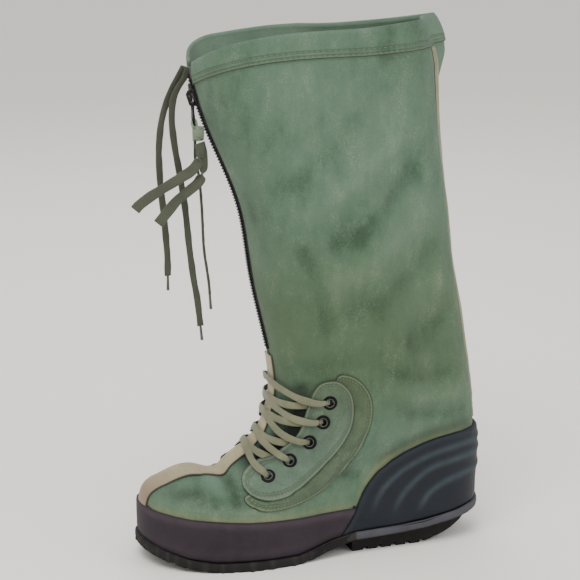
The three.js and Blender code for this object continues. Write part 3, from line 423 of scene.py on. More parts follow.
# place along, across and up, reach along each way, height, and the way if it isn't outward
SWELLS = (
    ((0.125, 0.0, 0.88), (0.24, 0.4, 0.3), 0.06, None),
    ((0.21, 0.0, 0.9), (0.24, 0.5, 0.3), -0.14, None),
    ((0.16, -0.75, 0.66), (0.34, 0.25, 0.16), -0.06, None),
    ((0.16, 0.75, 0.66), (0.34, 0.25, 0.16), -0.06, None),
    ((0.27, -0.38, 0.9), (0.2, 0.2, 0.2), -0.05, None),
    ((0.27, 0.38, 0.9), (0.2, 0.2, 0.2), -0.05, None),
    ((0.79, 0.16, 2.02), (0.6, 0.27, 1.1), 0.6, (1, 0, 0)),
    ((0.45, 0.66, 2.04), (1.7, 0.5, 0.7), 0.11, (0, 0, -1)),
)
# share of the length, then the plate's underside and its top edge
TOE_SPRING, SOLE_EDGE, ARCH, HEEL_TOP, HEEL_PLATE = 15, 8, 12, 33, 7
SOLE = (
    (0.0, TOE_SPRING, TOE_SPRING + 1.1 * SOLE_EDGE),
    (0.05, 0.6 * TOE_SPRING, 0.6 * TOE_SPRING + 1.05 * SOLE_EDGE),
    (0.11, 0.22 * TOE_SPRING, 0.22 * TOE_SPRING + SOLE_EDGE),
    (0.185, 0, SOLE_EDGE),
    (0.42, 0, SOLE_EDGE),
    (0.46, 0.25 * ARCH, 0.25 * ARCH + SOLE_EDGE),
    (0.51, 0.7 * ARCH, 0.7 * ARCH + 0.9 * SOLE_EDGE),
    (0.555, ARCH, ARCH + 0.8 * SOLE_EDGE),
    (0.588, ARCH + 0.3 * HEEL_PLATE, 0.64 * HEEL_TOP),
    (0.73, 0.68 * HEEL_TOP - HEEL_PLATE, 0.68 * HEEL_TOP),
    (0.8, 0.73 * HEEL_TOP - HEEL_PLATE, 0.73 * HEEL_TOP),
    (0.865, 0.85 * HEEL_TOP - HEEL_PLATE, 0.85 * HEEL_TOP),
    (0.94, 0.96 * HEEL_TOP - HEEL_PLATE, 0.96 * HEEL_TOP),
    (1.0, HEEL_TOP - HEEL_PLATE, HEEL_TOP),
)
PLATE, TOP = 1, 2


def sole(kind, x):
    return float(np.interp(x / LENGTH, [row[0] for row in SOLE], [row[kind] for row in SOLE]))


def rise(share):
    return share * INSTEP if share < 1 else INSTEP + (share - 1) * (COLLAR - INSTEP)


def smooth(ys, x):
    """A smooth curve through knots at 0, 1, 2 and so on."""
    i = min(int(x), len(ys) - 2)
    last = len(ys) - 1

    def slope(k):
        a, b = max(k - 1, 0), min(k + 1, last)
        return (ys[b] - ys[a]) / (b - a)

    t = min(max(x - i, 0), 1)
    u = 1 - t
    return (ys[i] * (1 + 2 * t) * u * u + ys[i + 1] * (3 - 2 * t) * t * t
            + t * u * (slope(i) * u - slope(i + 1) * t))


def fade(t):
    t = min(max(t, 0), 1)
    return t * t * (3 - 2 * t)


@lru_cache(maxsize=None)
def section(t):
    return {name: smooth([row[i] for row in SECTIONS], t) for i, name in enumerate(COLUMNS)}


def bare(t, u, side):
    """A point of the form before its swells.

    u is 0 to 1 round the front, 1 to 2 along the side, and 2 to 3 round the back.
    """
    c = section(t)
    front = (c["front_x"] * LENGTH, rise(c["front_z"]))
    back = (c["back_x"] * LENGTH, rise(c["back_z"]))
    long = math.dist(front, back)
    front_round, back_round = c["front_round"] * LENGTH, c["back_round"] * LENGTH
    front_width, mid, back_width = c["front_width"] * HALF, c["mid_width"] * HALF, c["back_width"] * HALF
    mid *= 1 + c["medial"] if side > 0 else 1
    power = 2 / ROUNDNESS
    if u <= 1:
        a = u * math.pi / 2
        s, w = front_round * (1 - math.cos(a) ** power), front_width * math.sin(a) ** power
    elif u < 2:
        k = u - 1
        s = front_round + k * (long - front_round - back_round)
        w = mid + (back_width - mid) * fade(2 * k - 1)
        if k < 0.5:
            w = front_width + (mid - front_width) * fade(2 * k)
    else:
        a = max(0, 3 - u) * math.pi / 2
        s, w = long - back_round * (1 - math.cos(a) ** power), back_width * math.sin(a) ** power
    share = s / long
    x = front[0] + (back[0] - front[0]) * share
    level = front[1] + (back[1] - front[1]) * share
    turn = c["toe"] * TOE_SHIFT * (1 - fade(share / 0.4)) - c["seam"] * SEAM_SHIFT * fade(share * 1.6 - 0.6)
    droop = c["droop"] * INSTEP * (w / front_width) ** 1.1 * (1 - 0.75 * fade(share * 1.4 - 0.3))
    on_sole = (sole(TOP, x) + SOLE_GAP - level) * max(0, 1 - t) ** 2
    return x, side * w + turn, level - droop + on_sole


print("sections", len(SECTIONS), "ball", bare(0, 1, -1))

# %% [markdown]
# A fine grid of points lies on the form: its rows climb from the sole to the collar, and its
# columns go round from the front, along the lateral side and the back, and home on the medial side.
# Columns 2 and -2 are the edges of the zip's slit.

# %% The form as a grid
FRONT_COLUMNS, SIDE_COLUMNS, BACK_COLUMNS = 42, 42, 30
HALF_AROUND = FRONT_COLUMNS + SIDE_COLUMNS + BACK_COLUMNS
AROUND = 2 * HALF_AROUND
SLIT = 5.5
SLIT_COLUMN = 2
STEPS_PER_SECTION = (10, 8, 14, 10, 10, 6, 12, 18, 18, 18, 9, 7)
ROW_T = [i + k / n for i, n in enumerate(STEPS_PER_SECTION) for k in range(n)] + [float(len(SECTIONS) - 1)]
ROW_T.insert(ROW_T.index(float(HEM)), HEM - 0.02)


def column_u(t, k):
    """Where column k lies round its section, so that one column runs along the slit."""
    if k >= FRONT_COLUMNS:
        k -= FRONT_COLUMNS
        return 1 + k / SIDE_COLUMNS if k <= SIDE_COLUMNS else 2 + (k - SIDE_COLUMNS) / BACK_COLUMNS
    edge = 2 / math.pi * math.asin((SLIT / (section(t)["front_width"] * HALF)) ** (ROUNDNESS / 2))
    if k <= SLIT_COLUMN:
        return edge * k / SLIT_COLUMN
    return edge + (1 - edge) * (k - SLIT_COLUMN) / (FRONT_COLUMNS - SLIT_COLUMN)


def normals_of(grid):
    up = np.gradient(grid, axis=0)
    around = np.roll(grid, -1, axis=1) - np.roll(grid, 1, axis=1)
    n = np.cross(around, up)
    return n / np.linalg.norm(n, axis=2, keepdims=True)


BARE = np.array([[
    bare(t, column_u(t, min(j, AROUND - j)), -1 if j <= HALF_AROUND else 1) for j in range(AROUND)
] for t in ROW_T])
bare_normals = normals_of(BARE)
GRID = BARE.copy()
for (x, y, z), reach, height, way in SWELLS:
    d = (BARE - np.array([x * LENGTH, y * HALF, rise(z)])) / (np.array(reach) * HALF)
    push = height * HALF * np.exp(-(d ** 2).sum(2))
    GRID += push[..., None] * (bare_normals if way is None else np.array(way, float))
NORMALS = normals_of(GRID)
print("form", GRID.shape)


def look(grid, row, column):
    """A value between the grid's points. Columns below 0 are on the medial side."""
    i, j = min(int(row), len(ROW_T) - 2), math.floor(column)
    a, b = row - i, column - j
    one, two = grid[i][j % AROUND], grid[i][(j + 1) % AROUND]
    three, four = grid[i + 1][j % AROUND], grid[i + 1][(j + 1) % AROUND]
    return (one * (1 - b) + two * b) * (1 - a) + (three * (1 - b) + four * b) * a


def normal_at(row, column):
    """The form's outward direction between the grid's points."""
    n = look(NORMALS, row, column)
    return n / np.linalg.norm(n)


def on_form(row, column, out=0.0):
    return look(GRID, row, column) + normal_at(row, column) * out


def row_at(column, z):
    """The row where a column reaches a height, counted up from the sole."""
    j = round(column) % AROUND
    heights = GRID[:, j, 2]
    k = int(np.argmax(heights > z))
    if k == 0:
        return 0.0
    return k - 1 + (z - heights[k - 1]) / (heights[k] - heights[k - 1])


def on_side(x, z, side):
    """The form's point that is seen from the side, with its outward normal."""
    hit, normal, _, _ = SHELL.ray_cast(Vector((x, side * 4 * HALF, z)), Vector((0, -side, 0)))
    if hit is None:
        hit, normal, _, _ = SHELL.find_nearest(Vector((x, side * HALF, z)))
    if normal.y * side < 0:
        normal = -normal
    return hit, normal


# %% [markdown]
# Canvas that has been folded and stored keeps soft folds. Each is a line seen from the side, with
# a width and a height: ridges stand out, troughs go in. They are listed for the two sides.

# %% Folds
# side, height, width, and the line in shares of the length and in millimetres of height
BOTH, LATERAL, MEDIAL = 0, -1, 1
FOLD_DEPTH = 1.3
FOLDS = (
    (LATERAL, -1.6, 9, ((0.62, 418), (0.54, 380), (0.44, 352), (0.34, 338))),
    (LATERAL, 1.5, 10, ((0.74, 398), (0.64, 366), (0.52, 330), (0.4, 310))),
    (LATERAL, -1.7, 10, ((0.8, 368), (0.72, 336), (0.6, 300), (0.46, 282))),
    (LATERAL, 1.4, 11, ((0.84, 330), (0.76, 304), (0.62, 268), (0.46, 250))),
    (LATERAL, -1.5, 10, ((0.86, 294), (0.78, 268), (0.66, 238), (0.5, 222))),
    (LATERAL, 1.2, 12, ((0.88, 262), (0.8, 238), (0.7, 214), (0.56, 198))),
    (LATERAL, -1.3, 9, ((0.9, 226), (0.82, 206), (0.72, 188))),
    (LATERAL, -1.6, 8, ((0.66, 176), (0.74, 164), (0.83, 160), (0.92, 166))),
    (LATERAL, 1.5, 9, ((0.66, 160), (0.75, 146), (0.84, 140), (0.94, 144))),
    (LATERAL, -1.3, 7, ((0.68, 142), (0.76, 128), (0.86, 122), (0.95, 124))),
    (LATERAL, -1.2, 8, ((0.42, 300), (0.47, 262), (0.5, 226), (0.5, 196))),
    (LATERAL, 1.0, 9, ((0.47, 312), (0.52, 270), (0.55, 230), (0.56, 200))),
    (LATERAL, -1.4, 5, ((0.5, 88), (0.56, 78), (0.62, 76))),
    (LATERAL, -2.4, 6, ((0.225, 84), (0.245, 74), (0.25, 62), (0.24, 54))),
    (LATERAL, -1.4, 6, ((0.13, 68), (0.17, 62), (0.21, 58))),
    (LATERAL, 1.2, 7, ((0.18, 80), (0.2, 72), (0.205, 62))),
    (MEDIAL, -1.6, 10, ((0.8, 400), (0.7, 350), (0.56, 318), (0.4, 306))),
    (MEDIAL, 1.5, 11, ((0.84, 350), (0.72, 306), (0.58, 282), (0.42, 270))),
    (MEDIAL, -1.6, 10, ((0.87, 300), (0.76, 262), (0.62, 240), (0.48, 232))),
    (MEDIAL, 1.3, 10, ((0.9, 250), (0.8, 222), (0.68, 206), (0.56, 200))),
    (MEDIAL, -1.5, 9, ((0.68, 170), (0.78, 156), (0.9, 158))),
    (MEDIAL, 1.3, 9, ((0.68, 150), (0.78, 136), (0.92, 138))),
    (MEDIAL, -2.0, 6, ((0.235, 82), (0.25, 70), (0.245, 56))),
    (LATERAL, 0.9, 3.2, ((0.545, 92), (0.575, 99), (0.605, 110))),
    (LATERAL, -0.8, 3, ((0.56, 100), (0.585, 107), (0.61, 118))),
    (LATERAL, 0.8, 3, ((0.575, 110), (0.595, 117), (0.618, 128))),
    (LATERAL, -0.7, 3, ((0.52, 84), (0.55, 90), (0.58, 97))),
    (BOTH, -1.2, 10, ((0.38, 176), (0.45, 178), (0.52, 184), (0.6, 186))),
)


def away_from(line, x, z):
    """Distance of points from a line of straight pieces, and how far along it the nearest point is."""
    best = np.full(x.shape, 1e9)
    along = np.zeros(x.shape)
    run = 0.0
    for (ax, az), (bx, bz) in zip(line, line[1:]):
        dx, dz = bx - ax, bz - az
        size = dx * dx + dz * dz
        t = np.clip(((x - ax) * dx + (z - az) * dz) / size, 0, 1)
        d = np.hypot(x - ax - t * dx, z - az - t * dz)
        along = np.where(d < best, run + t * math.sqrt(size), along)
        best = np.minimum(best, d)
        run += math.sqrt(size)
    return best, along / run


def rounded_line(line, count=16):
    return [(p.x, p.y) for p in spline([(x, z, 0) for x, z in line], count)[0]]


FOLDED = np.zeros(GRID.shape[:2])
for side, height, width, line in FOLDS:
    line = rounded_line([(x * LENGTH, z) for x, z in line])
    d, along = away_from(line, GRID[..., 0], GRID[..., 2])
    ends = np.clip(np.sin(np.pi * np.clip(along, 0.02, 0.98)) * 2.2, 0, 1)
    here = 1.0 if side == BOTH else np.clip(0.5 + side * GRID[..., 1] / 16, 0, 1)
    FOLDED += FOLD_DEPTH * height * np.exp(-(d / width) ** 2) * ends * here
slack = sum(
    a * np.sin(GRID[..., 0] * fx + GRID[..., 2] * fz + GRID[..., 1] * 0.02 + k)
    for k, (a, fx, fz) in enumerate(((0.5, 0.036, 0.021), (0.35, -0.05, 0.047), (0.3, 0.021, 0.083)))
)
FOLDED += slack * np.clip((GRID[..., 2] - 100) / 60, 0, 1)
near_slit = (GRID[..., 0] < 0.45 * LENGTH) & (GRID[..., 2] > 178)
slit_share = np.clip((np.abs(GRID[..., 1]) - SLIT) / 8, 0, 1)
FOLDED = np.where(near_slit, FOLDED * slit_share ** 2 * (3 - 2 * slit_share), FOLDED)
SHAPE = GRID + NORMALS * FOLDED[..., None]
SHELL = BVHTree.FromPolygons(
    [Vector(p) for p in SHAPE.reshape(-1, 3)],
    [(i + j, i + (j + 1) % AROUND, i + AROUND + (j + 1) % AROUND, i + AROUND + j)
     for i in range(0, AROUND * (len(ROW_T) - 1), AROUND) for j in range(AROUND)],
)
print("folds", len(FOLDS), "from", round(FOLDED.min(), 1), "to", round(FOLDED.max(), 1), "mm")

# %% [markdown]
# A grid that is laid over the form makes most pieces: Blender's own grid operator gives the faces,
# and a function says where each of its corners goes. Loose edges that meet are merged.

# %% Laying a grid
def laid_grid(columns, rows, place, attributes=(), closed=False, keep=None):
    """A grid of faces whose corner at column i and row j is place(i, j), in pattern millimetres."""
    bm = bmesh.new()
    bmesh.ops.create_grid(bm, x_segments=columns, y_segments=rows, size=1)
    layers = {key: bm.verts.layers.float.new(key) for key in attributes}
    for v in bm.verts:
        i = round((v.co.x + 1) / 2 * columns)
        j = round((v.co.y + 1) / 2 * rows)
        p, values = place(i, j)
        v.co = at(*p)
        for key, layer in layers.items():
            v[layer] = values[key]
    if keep is not None:
        gone = [f for f in bm.faces if not keep(f.calc_center_median() / MM - PATTERN_ORIGIN)]
        bmesh.ops.delete(bm, geom=gone, context="FACES")
    if closed:
        bmesh.ops.remove_doubles(bm, verts=bm.verts, dist=1e-6)
    return bm


def outward(bm, middle):
    """Turns all faces so that most look away from a point of the pattern."""
    middle = at(*middle)
    score = sum((f.calc_center_median() - middle).dot(f.normal) * f.calc_area() for f in bm.faces)
    if score < 0:
        bmesh.ops.reverse_faces(bm, faces=bm.faces)


def wall(obj, thick):
    """Gives a sheet its thickness, inwards."""
    solidify = obj.modifiers.new("thickness", "SOLIDIFY")
    solidify.thickness = thick * MM
    solidify.offset = -1
    solidify.use_even_offset = False


def dress(obj, body, slot, material, *nodes):
    obj.data.materials.append(material)
    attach(obj, body)
    if nodes:
        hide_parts(*nodes)
    return obj


def sheet(bm, name, middle, thick, slot, material, *nodes):
    """A piece of the boot: its faces turned outwards, then its wall and its finish."""
    outward(bm, middle)
    obj = finish_mesh(bm, name)
    if thick:
        wall(obj, thick)
    return dress(obj, "boot", slot, material, *nodes)


print("grid helper ready")

# %% [markdown]
# The rubber sides are drawn as lines that are seen from the side: the foxing's top, the cup's arched
# edge, their slanting joint, and the ribs. The canvas needs them too, because it is soiled and
# smeared with cement just above them.

# %% Lines of the rubber
CUP_TOP, RUBBER, CUP, RIB_HEIGHT, GAP = 104, 3.4, 3.8, 1.15, 0.3
FOXING_TOP = (
    (-0.05, 0.575), (0.0, 0.56), (0.035, 0.508), (0.12, 0.466), (0.275, 0.428), (0.43, 0.412), (0.575, 0.42),
)
JOINT_TOP, JOINT_FOOT = 0.594 * LENGTH, 0.552 * LENGTH
FOXING_END, CUP_START = 0.5935 * LENGTH, 0.5455 * LENGTH
JOINT = ((0.594, 0.437), (0.583, 0.358), (0.568, 0.267), (0.552, 0.2), (0.54, -0.2))
CUP_EDGE = (
    (1.1, 1.0), (1.0, 1.0), (0.95, 1.01), (0.895, 1.005), (0.849, 0.985), (0.786, 0.945),
    (0.724, 0.892), (0.679, 0.832), (0.644, 0.749), (0.619, 0.634), (0.602, 0.516),
)
RIBS = (
    ((0.632, 0.3), (0.648, 0.47), (0.677, 0.62), (0.75, 0.772), (0.895, 0.89), (1.04, 0.905)),
    ((0.7, 0.28), (0.722, 0.477), (0.76, 0.6), (0.818, 0.718), (0.945, 0.795), (1.04, 0.8)),
    ((0.775, 0.28), (0.8, 0.44), (0.845, 0.55), (0.92, 0.63), (1.04, 0.655)),
)


def sized(line):
    return [(x * LENGTH, z * CUP_TOP) for x, z in line]


def height_on(line, x):
    line = sorted(line)
    return float(np.interp(x, [p[0] for p in line], [p[1] for p in line]))


FOXING_TOP, JOINT, CUP_EDGE = sized(FOXING_TOP), sized(JOINT), sized(CUP_EDGE)
CUP_LINE = sorted(JOINT + CUP_EDGE)
RUBBER_ROW = 4


def column_at(x, side):
    """The column that passes a place along the foot."""
    columns = np.arange(HALF_AROUND + 1)
    xs = GRID[RUBBER_ROW, columns if side < 0 else (AROUND - columns) % AROUND, 0]
    return float(np.interp(x, xs, columns))


class Line:
    """A line of straight pieces that gives a place's distance to it."""

    def __init__(self, points):
        points = np.array(points, float)
        self.start = points[:-1]
        self.step = np.diff(points, axis=0)
        self.size = (self.step ** 2).sum(1)
        self.run = np.concatenate([[0], np.cumsum(np.sqrt(self.size))])

    def near(self, x, z):
        """The distance, and how far along the line the nearest point is as a share."""
        d = np.array([x, z]) - self.start
        t = np.clip((d * self.step).sum(1) / self.size, 0, 1)
        away = np.hypot(*(d - self.step * t[:, None]).T)
        k = int(np.argmin(away))
        return float(away[k]), float((self.run[k] + t[k] * math.sqrt(self.size[k])) / self.run[-1])


CUP_EDGE_LINE = Line(CUP_LINE)
RIB_LINES = [Line(rounded_line(sized(rib))) for rib in RIBS]


def rubber_top(x):
    """The height of the rubber's upper edge along the foot."""
    return max(height_on(FOXING_TOP, min(x, JOINT_TOP)), height_on(CUP_LINE, x) if x > JOINT_TOP else 0)


print("rubber's top at the toe and the heel", rubber_top(0), rubber_top(LENGTH))

# %% [markdown]
# The canvas is a plain weave in sage green. Its colour follows the folds through an attribute that
# holds each point's fold height: painted highlight on the ridges and painted shade in the troughs,
# and soft noise gives the mottling. Rows of stitching follow an attribute too: the distance to the
# hem's edge.

# %% Canvas
THREAD = (0.15, 0.18, 0.11)
THREAD_PITCH, STITCH_LENGTH = 0.0011, 0.0032


def canvas(name, dark, mid, light, rows):
    """Woven cloth. Each of its rows of stitches is given by its distance from the edge."""
    s = Shader(name)
    place = s.place()
    fold, edge, along = s.attribute("fold"), s.attribute("edge"), s.attribute("along")
    height_up = s.attribute("climb")
    cloud = s.noise(place, 9, 4, 0.6, 0.4)
    mottle = s.noise(s.stretched(place, (1, 1, 0.5)), 60, 5, 0.68)
    speck = s.noise(place, 650, 3, 0.7)
    # fold * 0.13 paints light and shade: lighter on fold ridges, darker in fold troughs
    tone = (cloud - 0.5) * 1.0 + (mottle - 0.5) * 0.9 + (speck - 0.5) * 0.6 + fold * 0.13 + 0.5
    low = s.mix(tone.step(-0.1, 0.55), dark, mid)
    color = s.mix(tone.step(0.45, 1.2), low, light)
    # a darker, yellower band on the shaft, from about 0.1 m to 0.36 m up
    low_shaft_band = height_up.step(0.1, 0.17) * (1 - height_up.step(0.2, 0.36)) * (cloud * 0.8 + 0.45)
    color = s.mix(low_shaft_band.clamp(), color, s.mix(1.0, color, (0.72, 0.7, 0.54), "MULTIPLY"))
    rub = (speck * mottle).step(0.28, 0.42)
    color = s.mix(rub * 0.12, color, (0.36, 0.42, 0.28))
    threads = weave(along, edge, THREAD_PITCH)
    height = threads * 0.35 + speck * 0.9 + mottle * 1.4
    dash = (along * (2 * math.pi / STITCH_LENGTH)).math("SINE").step(-0.5, 0.1)
    for at_edge in rows:
        row = edge.band(at_edge, 0.0003, 0.0004)
        groove = edge.band(at_edge, 0.0006, 0.0011)
        # painted shade: the groove along each stitch row is darkened in colour, and the bump below sinks it
        # as well
        color = s.mix(groove * 0.42, color, dark)
        color = s.mix(row * dash * 0.55, color, THREAD)
        height = height - groove * 1.8 + row * dash * 1.3
    bound = s.attribute("rim")
    # along bound edges: a paler line 1.4 mm in, and a near-black line at the very edge that is painted shadow
    color = s.mix(edge.band(0.0014, 0.0002, 0.0006) * 0.35 * bound, color, (0.24, 0.26, 0.16))
    color = s.mix((1 - edge.step(0.0002, 0.0009)) * 0.85 * bound, color, (0.008, 0.012, 0.007))
    smear = s.attribute("smear")
    color = s.mix((smear * (mottle * 0.9 - 0.08)).clamp(), color, (0.24, 0.24, 0.11))
    color = s.mix(s.attribute("shade"), color, (0.004, 0.006, 0.004))
    s.surface(color, 0.95, s.bump(height, 0.75, 0.0006), Sheen_Weight=0.12, Sheen_Roughness=0.6,
              Specular_IOR_Level=0.2)
    return s.material


HEM_ROWS, PIECE_ROWS = (0.0022, 0.0062), (0.002, 0.0042)
CANVAS, FLAP_CANVAS, PATCH_CANVAS = (canvas(*row) for row in (
    ("sage green canvas", (0.036, 0.074, 0.04), (0.092, 0.158, 0.103), (0.16, 0.235, 0.165), HEM_ROWS),
    ("sage green flap", (0.044, 0.076, 0.046), (0.112, 0.165, 0.118), (0.178, 0.235, 0.172), PIECE_ROWS),
    ("sage green patch", (0.034, 0.058, 0.029), (0.088, 0.129, 0.076), (0.155, 0.205, 0.13), PIECE_ROWS),
))
# the cut edges of the patches and flaps are near black: painted shadow along their rims
CUT_EDGE_SHADOW = Shader("dark cut edge")
fray = CUT_EDGE_SHADOW.noise(CUT_EDGE_SHADOW.place(), 900, 2, 0.6)
CUT_EDGE_SHADOW.surface(CUT_EDGE_SHADOW.mix(fray, (0.01, 0.016, 0.009), (0.045, 0.055, 0.032)), 0.95)
lining = Shader("pale lining")
grain = lining.noise(lining.place(), 500, 3, 0.7)
blotch = lining.noise(lining.place(), 40, 4, 0.6)
pale = lining.mix(grain.step(0.3, 0.8), (0.07, 0.09, 0.055), (0.17, 0.19, 0.125))
turned = lining.mix((blotch * 0.8 + grain * 0.4 - 0.1).clamp(), (0.062, 0.108, 0.07), (0.18, 0.265, 0.19))
fold_line = lining.attribute("edge").band(0.0022, 0.0003, 0.0008)
turned = lining.mix(fold_line * 0.6, turned, (0.01, 0.016, 0.009))
lining.surface(lining.mix(lining.attribute("rim").step(0.3, 0.7), pale, turned), 0.95,
               lining.bump(grain, 0.5, 0.0006), Sheen_Weight=0.2)
LINING = lining.material
print("canvas ready")

# %% [markdown]
# The upper is one sheet on the form's grid. The faces over the zip's slit are left out, the hem
# stands out as a turned and stitched band, and a Solidify modifier gives the cloth its thickness.

# %% Upper
HEM_ROW = next(i for i, t in enumerate(ROW_T) if t >= HEM)
HEM_EDGE = GRID[HEM_ROW, :, 2]
ZIP_FOOT, ZIP_HEAD = rise(1.232), rise(1.893)
HEM_STEP, COLUMN_PITCH = 1.2, 0.0021
last_row = len(ROW_T) - 1


def on_instep(shares):
    """Places in the side view from shares of the length and of the instep's height."""
    return [(x * LENGTH, z * INSTEP) for x, z in shares]


FLAP_OUTLINE = on_instep((
    (0.469, 1.539), (0.491, 1.651), (0.531, 1.674), (0.56, 1.613), (0.579, 1.512), (0.583, 1.36),
    (0.572, 1.2), (0.538, 1.029), (0.48, 0.837), (0.412, 0.681), (0.352, 0.621), (0.305, 0.624),
    (0.279, 0.684), (0.278, 0.751), (0.295, 0.815), (0.326, 0.886), (0.383, 0.989), (0.435, 1.177),
    (0.455, 1.37),
))
FREE_FROM = 13
FREE_EDGE = Line(rounded_line([*FLAP_OUTLINE[FREE_FROM:], FLAP_OUTLINE[0]], 24))


def deep_shade(x, z):
    """How dark the hollow under the flap's free edge is."""
    away, along = FREE_EDGE.near(x, z)
    return 0.95 * (1 - fade((away - 7) / 8)) * fade(along * 5) * (1 - 0.75 * fade((along - 0.85) / 0.15))


# painted shade in a hollow: its place in the side view, its two radii, and how dark it is
HOLLOW_SHADE_SPOTS = ((84.5, 90, 9, 3.5, 0.85), (38.6, 66, 18, 4.5, 0.5), (144, 159, 7, 6, 0.8))


def hollow_shade(x, z):
    """How dark the hollows are, with the long one above the heel cup."""
    dark = max(k * math.exp(-((x - a) / rx) ** 2 - ((z - b) / rz) ** 2) for a, b, rx, rz, k in HOLLOW_SHADE_SPOTS)
    over_cup = fade((x - 0.62 * LENGTH) / 25) * (1 - fade((x - 0.93 * LENGTH) / 20))
    away = CUP_EDGE_LINE.near(x, z)[0]
    return max(dark, 0.5 * over_cup * math.exp(-((away - 5) / 7) ** 2))


def upper_place(i, j):
    column = i % AROUND
    p = SHAPE[j, column].copy()
    above = p[2] - HEM_EDGE[column]
    pucker = 0.35 * math.sin(i * 0.9) * math.exp(-((above - 2) / 6) ** 2)
    out = HEM_STEP + pucker if j >= HEM_ROW else 0.25 * pucker
    if j == last_row:
        out -= 0.5
    p += NORMALS[j, column] * out
    run = (i if i <= HALF_AROUND else i - AROUND) * COLUMN_PITCH
    over_rubber = max(p[2] - rubber_top(p[0]), 0)
    return p, {
        "fold": FOLDED[j, column], "along": run, "climb": p[2] * MM, "rim": 1.0 if j >= HEM_ROW else 0.0,
        "edge": above * MM if j >= HEM_ROW else 0.02 + abs(above) * MM,
        "smear": math.exp(-(over_rubber / 4) ** 2) + 0.25 * math.exp(-(over_rubber / 14) ** 2),
        "shade": max(deep_shade(p[0], p[2]), hollow_shade(p[0], p[2])),
    }


def off_the_slit(c):
    return not (abs(c.y) < SLIT - 0.3 and c.x < 0.45 * LENGTH and c.z > ZIP_FOOT)


CLOTH_LAYERS = ("fold", "edge", "along", "rim", "climb", "smear", "shade")
bm = laid_grid(AROUND, last_row, upper_place, CLOTH_LAYERS, closed=True, keep=off_the_slit)
upper = sheet(bm, "canvas_upper", (200, 0, 200), 2.6, "canvas", CANVAS, "upper")
upper.data.materials.append(LINING)
upper.modifiers["thickness"].material_offset = 1
upper.modifiers["thickness"].material_offset_rim = 0
print("upper faces", len(upper.data.polygons))

# %% [markdown]
# Moulded rubber is matte and paler on its high places: dusty there, and along the foxing's top
# ledge painted sheen as well. It has small pits and scuffs, and darker hollows. The foxing has a
# brownish cast, and the heel cup a blue one.

# %% Rubber
def rubber(name, dark, light, dust_and_sheen_color, roughness=0.62, rough=1.0):
    s = Shader(name)
    place = s.place()
    cloud = s.noise(place, 14, 4, 0.6, 0.5)
    mottle = s.noise(place, 90, 4, 0.65)
    fine = s.noise(place, 900, 3, 0.7)
    scratch = s.noise(s.stretched(place, (0.25, 1, 1.6)), 160, 3, 0.6, 1.2)
    color = s.mix((cloud * 0.6 + mottle * 0.5 + fine * 0.25 - 0.15).clamp(), dark, light)
    high = s.attribute("high")
    dust_and_sheen = (high * (mottle * 0.8 + cloud * 0.7)).clamp()
    color = s.mix(dust_and_sheen, color, dust_and_sheen_color)
    scuffs = scratch.step(0.62, 0.72) * 0.35
    color = s.mix(scuffs, color, tuple(1.6 * c for c in light))
    height = mottle * 1.0 + fine * 0.5 + scratch * 0.5
    tone = (mottle * 0.25 + dust_and_sheen * 0.2 + roughness - 0.12).clamp()
    s.surface(color, tone, s.bump(height, 0.6, 0.0007 * rough), Specular_IOR_Level=0.25)
    return s.material


FOXING_RUBBER, CUP_RUBBER, SOLE_RUBBER = (rubber(*row) for row in (
    ("purple brown rubber", (0.005, 0.003, 0.007), (0.022, 0.013, 0.021), (0.07, 0.052, 0.062)),
    ("blue black rubber", (0.002, 0.003, 0.006), (0.009, 0.011, 0.018), (0.042, 0.056, 0.068), 0.55),
    ("dusty sole rubber", (0.003, 0.003, 0.003), (0.011, 0.01, 0.01), (0.05, 0.042, 0.038), 0.75, 2.2),
))
print("rubber ready")

# %% [markdown]
# A rubber side is a band of the form. It has its own columns and rows, and a function gives how far
# each of its places stands out.

# %% Rubber bands
def rubber_band(start, stop, low, high, out, rows, columns):
    """A band from one signed column to another. Columns below 0 are medial, and may pass the back."""

    def place(i, j):
        column = start + (stop - start) * i / columns
        x = look(GRID, RUBBER_ROW, column)[0]
        bottom, top = low(x), high(x)
        z = bottom + (top - bottom) * j / rows
        row = row_at(column, z)
        p = on_form(row, column)
        p[2] = z
        push, shine = out(x, z, bottom, top)
        p += normal_at(row, column) * push
        return p, {"high": shine}

    return laid_grid(columns, rows, place, ("high",))


def roll(d, width):
    """How full a rounded edge is at a distance from it."""
    k = min(max(d / width, 0), 1)
    return math.sqrt(1 - (1 - k) ** 2)


def foxing_low(x):
    return max(sole(TOP, x) + GAP, height_on(JOINT, x) if x > JOINT_FOOT else 0)


def foxing_out(x, z, bottom, top):
    worn = 0.35 * math.sin(x * 0.13 + z * 0.21) + 0.25 * math.sin(x * 0.31 - z * 0.17)
    full = GAP + 0.6 + (RUBBER - 0.6) * roll(top - z, 2.4) * (0.55 + 0.45 * roll(z - bottom, 3))
    lower = 0.5 * math.exp(-((z - bottom - 7) / 4) ** 2)
    ledge = math.exp(-((top - z - 3) / 3) ** 2)
    seam = math.exp(-((x - 0.004 * LENGTH) / 1.6) ** 2) if x < 0.02 * LENGTH else 0
    # the second value makes the rubber paler: its ledge term is painted sheen along the top ledge
    return full + worn * 0.3 + lower - 0.5 * seam, 0.25 + 0.45 * ledge + 0.2 * lower


def foxing_high(x):
    return height_on(FOXING_TOP, x)


start, stop = -column_at(FOXING_END, 1), column_at(FOXING_END, -1)
bm = rubber_band(start, stop, foxing_low, foxing_high, foxing_out, 26, 210)
foxing = sheet(bm, "rubber_foxing", (100, 0, 30), 3.0, "rubber", FOXING_RUBBER, "foxing")


